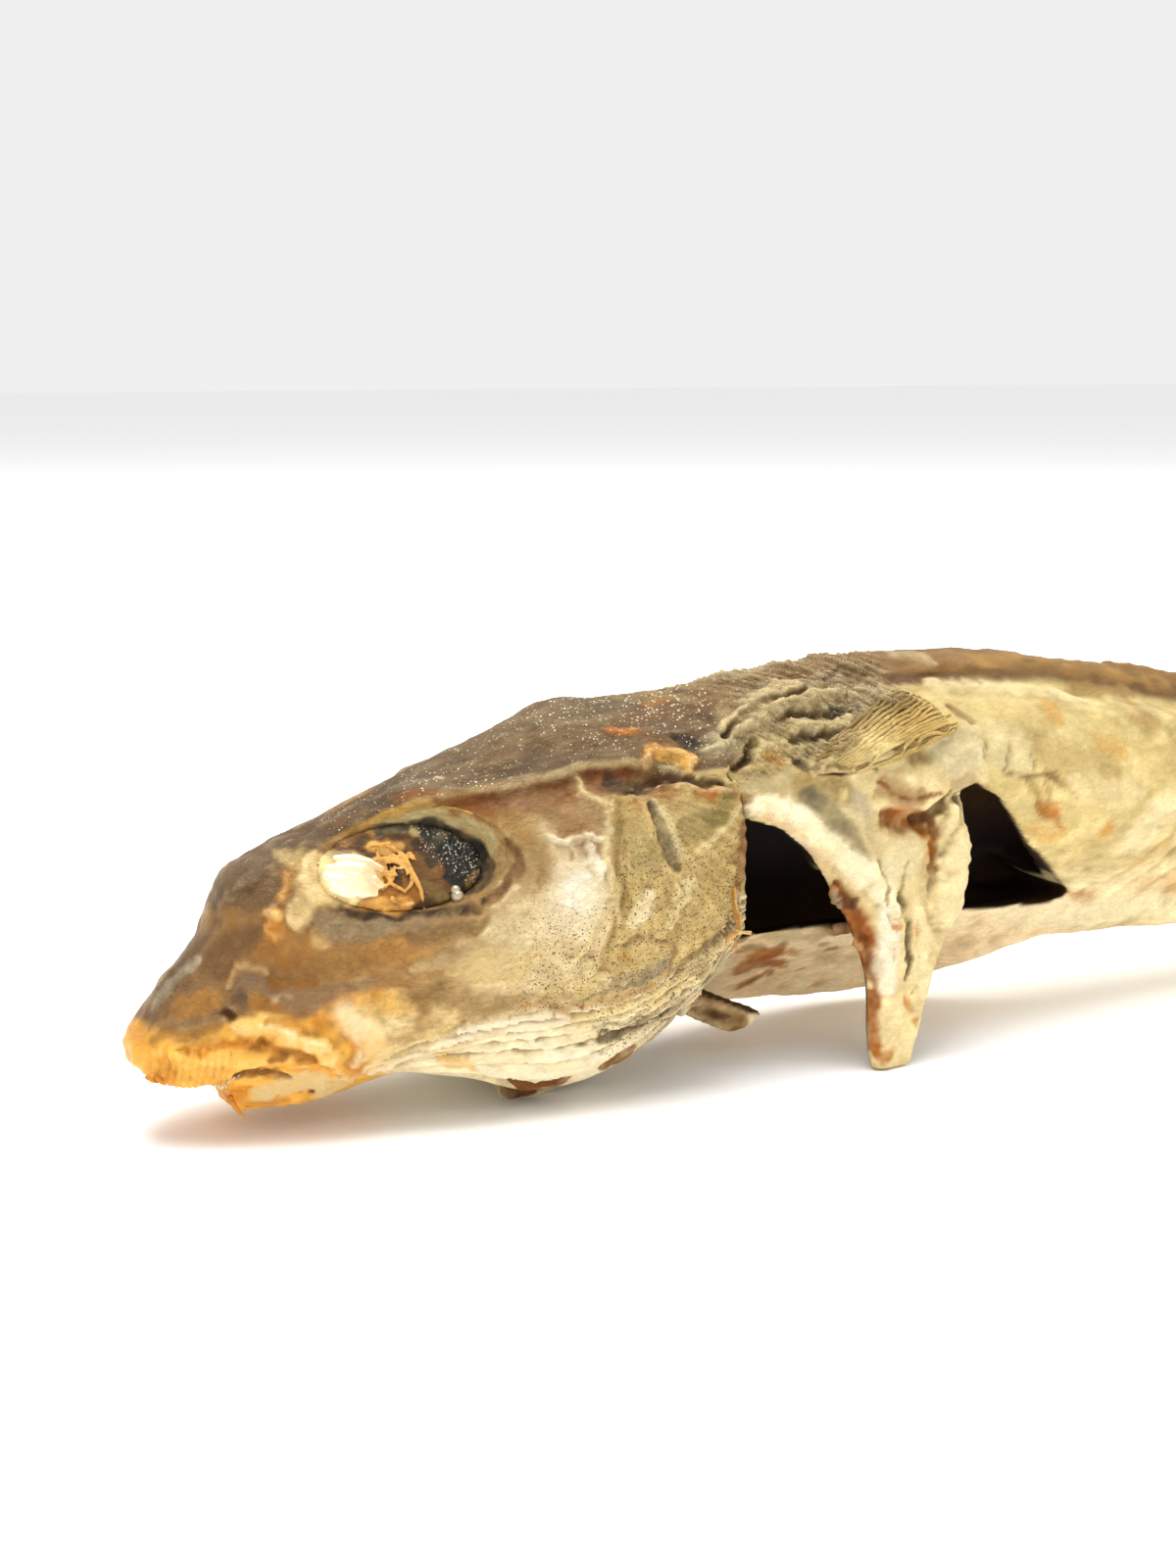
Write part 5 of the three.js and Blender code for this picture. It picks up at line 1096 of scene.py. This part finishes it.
# The hide is cut into three stretches of a weight that a viewer can take. They keep the
# normals of the whole, so that no seam shows where they meet.
GILL_START = 71.0
GIRDLE_START = 112.0
dried_surface = BVHTree.FromObject(hide, bpy.context.evaluated_depsgraph_get())
outward = hide.data.attributes.new("outward", "FLOAT_VECTOR", "POINT")
outward.data.foreach_set("vector", numbers(hide.data.vertices, "normal", 3).astype(np.float32).ravel())
for name, front, back in (("snout_to_cheeks", None, GILL_START),
                          ("gills_and_nape", GILL_START, GIRDLE_START),
                          ("girdle_to_tail", GIRDLE_START, None)):
    stretch = new_piece(name, hide.data.copy())
    work = bmesh.new()
    work.from_mesh(stretch.data)
    for x, way in ((front, -1), (back, 1)):
        if x is None:
            continue
        cut = bmesh.ops.bisect_plane(work, geom=[*work.verts, *work.edges, *work.faces], dist=1e-7,
                                     plane_co=at(x, 0, 0), plane_no=(way, 0, 0), clear_outer=True)
        rim = [part for part in cut["geom_cut"] if isinstance(part, bmesh.types.BMEdge)]
        bmesh.ops.triangle_fill(work, edges=rim, use_beauty=True, normal=(way, 0, 0))
    work.to_mesh(stretch.data)
    work.free()
    out = numbers(stretch.data.attributes["outward"].data, "vector", 3)
    stretch.data.normals_split_custom_set_from_vertices(out / np.linalg.norm(out, axis=1)[:, None])
    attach(stretch, "root")
    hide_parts("stockfish")
bpy.data.objects.remove(hide)

# ---- Eyes ---------------------------------------------------------------------------------------
# Each eyeball has dried flat in its socket: a black iris with white grains behind, crumbly
# amber fibres in the middle, and clear jelly over a cream film in front.
EYE_GRID = 0.22 * MM
FIBRE_GRID = 0.13 * MM
JELLY_GRID = 0.16 * MM
eye_left = over_solid("eye_left_surface", "eye_left", EYE_GRID, 30)
eye = Skin(eye_left)
eye.coat("#5f4325")
eye.paint(smooth(0, 0.6, eye.waves[1.7]) * 0.4, "#8a6434")
eye.draw(*EYE_MARKS)
iris = smooth(0, 0.3, eye.brush([(41.2, -11.1, 42.1), (44.7, -13.1, 40.1), (46.4, -14.9, 37.5)], 3.4))
film = smooth(31.5, 28.5, eye.spot[:, 0])
eye.layers["salt"] += iris
eye.layers["sheen"] += film + 0.4 * iris
eye.rise += 0.4 + (0.08 + 0.1 * iris) * eye.waves[0.8] + 0.1 * eye.waves[1.7]
eye.set_hard(0.15, 0.3)

# The coat of an eyeball, dried hard: like the skin, but glossier and with finer grains, so
# the iris gleams and the white grains in it stand out.
dried_eye = dried_skin("dried eyeball", speck=0.36, speck_colour="#b3ad9f", matt=0.5, glossy=0.12)
eye_left.data.materials.append(dried_eye)


def to_frame(place, ahead):
    """The matrix that stands a ring at a place, square to the way ahead."""
    return Matrix.Translation(place) @ ahead.to_track_quat("Z", "Y").to_matrix().to_4x4()


def strand(work, line, radii, sides=6):
    """A closed round strand along a line of points in millimetres on the fish."""
    steps = [at(*p) for p in line]
    ways = [(b - a).normalized() for a, b in zip(steps, steps[1:])]
    frames = [to_frame(place, way) for place, way in zip(steps, [*ways, ways[-1]])]
    sizes = np.interp(np.linspace(0, 1, len(steps)), np.linspace(0, 1, len(radii)), radii) * MM
    ring = bmesh.ops.create_circle(work, cap_ends=True, radius=sizes[0], segments=sides,
                                   matrix=frames[0])["verts"]
    faces = list({face for vert in ring for face in vert.link_faces})
    for before, after, old, new in zip(frames, frames[1:], sizes, sizes[1:]):
        grown = bmesh.ops.extrude_face_region(work, geom=faces)["geom"]
        faces = [part for part in grown if isinstance(part, bmesh.types.BMFace)]
        ring = [part for part in grown if isinstance(part, bmesh.types.BMVert)]
        move = after @ Matrix.Scale(max(new / old, 0.01), 4) @ before.inverted()
        bmesh.ops.transform(work, matrix=move, verts=ring)


def finished(name, work):
    """Closes a work of strands as a new smooth piece."""
    bmesh.ops.recalc_face_normals(work, faces=work.faces)
    mesh = bpy.data.meshes.new(name)
    work.to_mesh(mesh)
    work.free()
    mesh.shade_smooth()
    return new_piece(name, mesh)


def settled(surface, line, height):
    """A line laid on a surface, and raised over it by a height in millimetres."""
    laid = []
    for p in line:
        place, normal = surface.find_nearest(at(*p))[:2]
        place = place + normal * height * MM
        laid.append(((place.x - NOSE) / MM, place.y / MM, place.z / MM))
    return laid


def wander(chance, start, way, steps, length):
    """A crooked line of points that sets off from start."""
    points = [np.array(start, float)]
    for _ in range(steps):
        way = way + chance.normal(0, 0.45, 3)
        points.append(points[-1] + way / np.linalg.norm(way) * length)
    return points


# Crumbly fibres, each a line over the eyeball and the radii along it, with crumbs between.
FIBRES = (
    ([(32.6, -10, 41), (35.2, -10.7, 41.3), (36.8, -12, 40), (37.5, -13.6, 37.9), (38.3, -15.1, 35.4),
      (38.4, -17.3, 32.8)], (0.25, 0.5, 0.4, 0.45, 0.35, 0.18)),
    ([(31.4, -11.2, 39), (34.4, -11.7, 39.5), (36.5, -12.8, 38.8)], (0.35, 0.45, 0.3)),
    ([(36, -14.7, 35.2), (37.1, -14.5, 36.1), (37.5, -13.8, 37.6)], (0.3, 0.3, 0.2)),
    ([(32.9, -13.6, 35.6), (34.7, -13.5, 36.8), (35.4, -12.7, 38.6)], (0.3, 0.35, 0.2)),
    ([(33.7, -12.5, 38), (34.6, -13.8, 36.2), (36.3, -14.7, 35.2)], (0.25, 0.3, 0.2)),
    ([(33.5, -10.6, 40.7), (33.5, -12.1, 38.6), (32.7, -13.2, 36.3)], (0.3, 0.4, 0.3)),
    ([(34, -14.3, 34.6), (35.4, -15.1, 33.6), (37.1, -15.5, 33.7)], (0.4, 0.45, 0.3)),
)
CRUMBS = 110
chance = np.random.default_rng(7)
work = bmesh.new()
for line, radii in FIBRES:
    strand(work, settled(eye.surface, line, 0.5), radii)
for _ in range(CRUMBS):
    spot = np.array([chance.uniform(31.0, 38.0), -12, chance.uniform(34.2, 40.6)])
    line = wander(chance, spot, np.array([0.5, -0.1, -0.7]), chance.integers(2, 5), 0.5)
    strand(work, settled(eye.surface, line, chance.uniform(0.3, 0.7)), (0.14, 0.24, 0.1), sides=5)
fibre_piece = finished("eye_fibres_left", work)
wrap(fibre_piece, FIBRE_GRID, 3)
fibre = Skin(fibre_piece)
fibre.coat("#dcae66")
fibre.paint(smooth(-0.1, 0.5, fibre.waves[1.7]) * 0.8, "#f0d7a6")
fibre.paint(smooth(0.1, 0.6, -fibre.waves[0.8]) * 0.6, "#8a5722")
fibre.rise += 0.08 * fibre.waves[0.8]
fibre.layers["sheen"] += 0.4
fibre.set_hard(0.2, 0.6)
fibre_piece.data.materials.append(dried_eye)

# Rolls of clear jelly over the front corner, and two drops of it at the lower lid.
JELLY_ROLLS = (
    ([(27.6, -8.9, 39.8), (29.2, -9.7, 39.6), (30.5, -10.4, 39.5), (32.1, -11.4, 39), (33.5, -12.4, 38.2),
      (34.3, -13.1, 37.3)], (0.5, 0.9, 1.0, 1.0, 0.85, 0.4)),
    ([(26.7, -9.7, 38.2), (28.7, -10.9, 37.7), (30.2, -11.7, 37.3), (31.5, -12.5, 36.8)],
     (0.6, 1.0, 1.05, 0.7)),
    ([(25.7, -9.4, 36.8), (26.7, -10.9, 36.2), (28.2, -11.9, 35.5), (29.5, -12.8, 34.8)],
     (0.5, 0.95, 1.0, 0.5)),
    ([(30.8, -11.6, 37.9), (32.3, -12.8, 36.8), (33.5, -13.7, 35.9)], (0.8, 1.0, 0.5)),
    ([(28.4, -11.6, 36.3), (30.3, -12.8, 35.4), (32.5, -13.6, 35.3)], (0.9, 1.0, 0.6)),
    ([(25.5, -8.5, 38.6), (26.3, -9.9, 37.5), (27.3, -11, 36.6)], (0.5, 0.9, 0.6)),
    ([(26.3, -9.3, 38.4), (28.9, -10.4, 38.6), (31.2, -11.5, 38.4), (33.3, -12.9, 37.2)],
     (0.7, 1.1, 1.1, 0.6)),
    ([(25.9, -9.6, 37.5), (28, -11.1, 36.9), (30.3, -12.3, 36.3), (32.5, -13.5, 35.6)],
     (0.7, 1.1, 1.1, 0.6)),
)
EYE_DROPS = (((43.2, -16, 35), 0.7), ((43.6, -18.7, 33.7), 0.95))
work = bmesh.new()
for line, radii in JELLY_ROLLS:
    strand(work, settled(eye.surface, line, 0.1), radii, sides=10)
jelly_piece = finished("eye_jelly_left", work)
wrap(jelly_piece, JELLY_GRID, 14)
jelly = Skin(jelly_piece)
jelly.coat("#efdcb4")
jelly.paint(smooth(29.5, 33.5, jelly.spot[:, 0] + jelly.waves[1.7]) * 0.9, "#dfb06a")
jelly.paint(smooth(0.1, 0.6, jelly.waves[1.7]) * 0.3, "#fff3d0")
jelly.set_hard(0, 0)
work = bmesh.new()
for place, size in EYE_DROPS:
    middle = at(*settled(eye.surface, [place], 0.5)[0])
    bmesh.ops.create_uvsphere(work, u_segments=20, v_segments=12, radius=size * MM,
                              matrix=Matrix.Translation(middle))
drop_piece = finished("eye_drops_left", work)
drop = Skin(drop_piece)
drop.coat("#a89c7c")
drop.set_hard(0, 0)

# Jelly that has set as it dried: smooth as varnish, so the lights show in it sharply, over
# flesh that lets a little light in.
set_jelly = bpy.data.materials.new("dried clear eye jelly")
set_jelly.use_nodes = True
clear = set_jelly.node_tree.nodes["Principled BSDF"]
tint = add_node(set_jelly.node_tree, "ShaderNodeAttribute", attribute_name="tint")
set_jelly.node_tree.links.new(tint.outputs["Color"], clear.inputs["Base Color"])
set_inputs(clear, {"Roughness": 0.08, "IOR": 1.6, "Specular IOR Level": 0.8, "Coat Weight": 1.0,
                   "Coat IOR": 1.8, "Coat Roughness": 0.04, "Subsurface Weight": 0.3,
                   "Subsurface Radius": (1.0, 0.7, 0.4), "Subsurface Scale": 1.5 * MM})
for piece in (jelly_piece, drop_piece):
    piece.data.materials.append(set_jelly)


def right_twin(piece, shift):
    """The mirror image of a left piece, moved by a shift in metres."""
    twin = new_piece(piece.name.replace("left", "right"), piece.data.copy())
    across = Matrix.Translation(shift) @ Matrix.Diagonal((1, -1, 1, 1))
    work = bmesh.new()
    work.from_mesh(twin.data)
    bmesh.ops.transform(work, matrix=across, verts=work.verts)
    bmesh.ops.reverse_faces(work, faces=work.faces)
    work.to_mesh(twin.data)
    work.free()
    twin.data.shade_smooth()
    return twin


RIGHT_EYE_SHIFT = Vector((0.5, -0.6, -1.7)) * MM
for piece in (eye_left, fibre_piece, jelly_piece, drop_piece):
    for part, node in ((piece, "eye_left"), (right_twin(piece, RIGHT_EYE_SHIFT), "eye_right")):
        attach(part, "root")
        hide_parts(node)

# ---- Breast fins --------------------------------------------------------------------------------
# The breast fins lie back against the nape: a fan of dry rays that part from the root and
# end unevenly, honey coloured with a darker leading edge.
FIN_GUIDES = [
    [(104.0, -15.6, 48.2), (108.2, -16, 52.4), (115.4, -13.2, 55.8), (125.3, -8.2, 57.5)],
    [(106.4, -17.8, 48.2), (113.5, -17.5, 50.7), (120.9, -16, 53.3), (130.6, -12.3, 54.6)],
    [(110, -17.6, 46.8), (117.5, -17.1, 48.5), (123.8, -17.3, 50.6), (131.7, -15.4, 51.3)],
]
RAYS = 17
work = bmesh.new()
for ray in range(RAYS):
    part = ray / (RAYS - 1) * 2
    low = min(int(part), 1)
    line = np.array(FIN_GUIDES[low]) * (1 - part + low) + np.array(FIN_GUIDES[low + 1]) * (part - low)
    broken_off = 1 + int(chance.integers(0, 3))
    line = skin.trace(line)[::2][:-broken_off]
    strand(work, settled(dried_surface, line, 0.16), (0.2, 0.36, 0.36, 0.32, 0.2))
rays_piece = finished("breast_fin_rays_left", work)
fin = Skin(rays_piece)
along = smooth(104, 130, fin.left[:, 0])
fin.coat("#dbc793")
fin.paint(smooth(0.25, 0.7, along) * 0.8, "#c0a468")
fin.paint(smooth(0.75, 1, along) * 0.6, "#cbb377")
fin.paint(smooth(3, 0, np.abs(fin.level([(104, 50), (115, 56.6), (126, 58)]))) * 0.8, "#7d6843")
fin.paint(smooth(0.1, 0.7, fin.waves[1.7]) * 0.3, "#9b834f")
fin.set_hard(0, 0)

# Horny ray, tooth and thin torn skin dry alike: matt and faintly grained.
dried_ray = dried_skin("dried fin ray")
rays_piece.data.materials.append(dried_ray)
for piece in (rays_piece, right_twin(rays_piece, Vector())):
    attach(piece, "root")
    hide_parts("stockfish")

# ---- Teeth and torn edges -----------------------------------------------------------------------
# Needle teeth along the open corner of the mouth, frayed lip skin, a curl of torn skin at
# the gill cover's corner, and scraps of brown skin left under the throat.
TOOTH_ROOTS = [(10.3, 9.4), (10.8, 9.5), (11.3, 10), (12, 10.3), (12.8, 10.6), (9.6, 9.4), (9.1, 9.6)]
TOOTH_TIPS = [(9.9, 8.8), (10.5, 9.1), (10.9, 9.7), (11.6, 10.1), (12.3, 10.4), (9.6, 9), (9.1, 9.3)]
work = bmesh.new()
for (x, z), (tip_x, tip_z) in zip(TOOTH_ROOTS, TOOTH_TIPS):
    root = np.array([x, -9.8, z])
    tip = np.array([tip_x, -10.2, tip_z])
    strand(work, [root, 0.5 * (root + tip), tip], (0.2, 0.14, 0.04))
teeth = finished("teeth", work)
tooth = Skin(teeth)
tooth.coat("#fdf8e8")
tooth.set_hard(0, 0)
work = bmesh.new()
for depth, line in (
        (-9, [(11.4, 7.3), (12.1, 5.8), (12.9, 4.6), (13.8, 3.7)]),
        (-5.6, [(0.7, 10.9), (1.4, 10.1), (2.2, 9.6)]),
        (-5.6, [(1.8, 10.6), (2.8, 9.6), (3.4, 9.1)]),
):
    strand(work, [(x, depth, z) for x, z in line], (0.5, 0.3, 0.07))
frays = finished("lip_frays", work)
fray = Skin(frays)
fray.coat("#d9983c")
fray.layers["sheen"] += 0.7
fray.set_hard(0, 0)
for piece in (teeth, frays):
    piece.data.materials.append(dried_ray)
    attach(piece, "root")
    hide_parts("stockfish")


def flap(name, edges, depths, thickness, tint, dark):
    """A thin torn sheet between two edges, each drawn as (x, z) points at a depth of its own."""
    def drawn(edge, depth, share):
        spots = np.linspace(0, 1, len(edge))
        x, z = (np.interp(share, spots, column) for column in np.transpose(edge))
        return np.stack([x, np.full(len(x), depth), z], 1)

    work = bmesh.new()
    bmesh.ops.create_grid(work, x_segments=28, y_segments=8, size=0.5)
    flat = np.array([vert.co for vert in work.verts]) + 0.5
    first, second = (drawn(edge, depth, flat[:, 0]) for edge, depth in zip(edges, depths))
    for vert, place in zip(work.verts, first * (1 - flat[:, 1:2]) + second * flat[:, 1:2]):
        vert.co = at(*place)
    bmesh.ops.smooth_vert(work, verts=work.verts, factor=0.5, use_axis_x=True, use_axis_y=True,
                          use_axis_z=True)
    bmesh.ops.solidify(work, geom=work.faces, thickness=thickness * MM)
    piece = finished(name, work)
    sheet = Skin(piece)
    sheet.coat(tint)
    sheet.paint(smooth(-0.1, 0.6, sheet.waves[1.7]) * 0.6, dark)
    sheet.rise += 0.12 * sheet.waves[1.7] + 0.05 * sheet.waves[0.8]
    sheet.set_hard(0.3, 0.3)
    piece.data.materials.append(dried_ray)
    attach(piece, "root")
    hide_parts("stockfish")


flap("gill_cover_curl", (
    [(85.5, 32.4), (85.7, 30.3), (86.2, 28.4), (86.8, 27), (86.7, 25.6), (85.5, 24.7), (84.5, 24.3)],
    [(85.9, 31.8), (85.9, 29.3), (86.2, 27.6), (86.6, 26.4), (86.3, 25.3), (85.3, 24.7), (84.6, 24)],
), (-22.6, -21.2), 0.25, "#dcb67c", "#b98342")
flap("gill_cover_tongue", (
    [(85.6, 25.9), (86.9, 25.7), (88.5, 25.2)],
    [(86, 24.9), (87.3, 25), (88.7, 24.8)],
), (-22.4, -21.8), 0.25, "#e3c692", "#c08d4d")
flap("throat_fold", (
    [(39.1, 10.8), (43.8, 9.7), (48.2, 8.5), (51.7, 6.1), (55.2, 4.9)],
    [(40.6, 9.7), (44.4, 7.3), (48.3, 5.5), (51.9, 4), (55, 3.1)],
), (-14, -14.5), 0.3, "#f1e6c6", "#d9c79c")
flap("throat_scrap", (
    [(51, 6.1), (55, 5.5), (59, 5.3), (62.4, 5.6)],
    [(53.6, 3.4), (55.4, 3.1), (58.6, 3.4), (62.3, 4.4)],
), (-14.5, -14.5), 0.35, "#8a5f31", "#6a4520")
flap("throat_scrap_behind", (
    [(66.6, 5.9), (68.9, 7.7), (71.2, 8.6), (72.8, 9.3)],
    [(66.1, 5.3), (69.1, 5.5), (71.2, 6.2), (72.9, 7.8)],
), (-15.8, -15.4), 0.3, "#a1763f", "#7b5228")

# ---- Floor, light and camera --------------------------------------------------------------------
# A white floor under a wide soft light from above and behind, seen from a hand's height
# beside the nose.
floor_mesh = bpy.data.meshes.new("floor")
work = bmesh.new()
bmesh.ops.create_grid(work, x_segments=1, y_segments=1, size=6)
work.to_mesh(floor_mesh)
work.free()
floor = new_piece("floor", floor_mesh)

# Uncoated paper: white and without any gloss.
paper = bpy.data.materials.new("matt white paper")
paper.use_nodes = True
set_inputs(paper.node_tree.nodes["Principled BSDF"],
           {"Base Color": (0.95, 0.95, 0.95, 1), "Roughness": 0.9})
floor_mesh.materials.append(paper)

world = bpy.data.worlds.new("studio")
world.use_nodes = True
set_inputs(world.node_tree.nodes["Background"], {"Color": (1, 1, 1, 1), "Strength": 0.87})
bpy.context.scene.world = world


def soft_box(name, place, aim, width, watts):
    """A square soft light that faces a point."""
    light = bpy.data.lights.new(name, "AREA")
    light.size = width
    light.energy = watts
    lamp = bpy.data.objects.new(name, light)
    lamp.location = place
    lamp.rotation_euler = (Vector(aim) - Vector(place)).to_track_quat("-Z", "Y").to_euler()
    bpy.context.scene.collection.objects.link(lamp)


soft_box("back_light", (0.15, 0.25, 1.25), (0, 0, 0), 1.3, 19)
soft_box("top_light", (-0.25, -0.1, 0.95), (-0.08, 0, 0.02), 0.5, 5)

CAMERA_PLACE = at(-81.8, -302.9, 110.0)
CAMERA_YAW = 27.0
CAMERA_DOWN = 10.8
FOCAL_PIXELS = 2310.0
PICTURE_HEIGHT = 1600.0
SENSOR = 36.0
view = bpy.data.cameras.new("camera")
view.sensor_fit = "VERTICAL"
view.sensor_height = SENSOR
view.lens = FOCAL_PIXELS / PICTURE_HEIGHT * SENSOR
view.clip_start = 0.01
camera = bpy.data.objects.new("camera", view)
camera.location = CAMERA_PLACE
camera.rotation_euler = (math.radians(90 - CAMERA_DOWN), 0, math.radians(-CAMERA_YAW))
bpy.context.scene.collection.objects.link(camera)
bpy.context.scene.camera = camera
bpy.context.scene.view_settings.view_transform = "Standard"
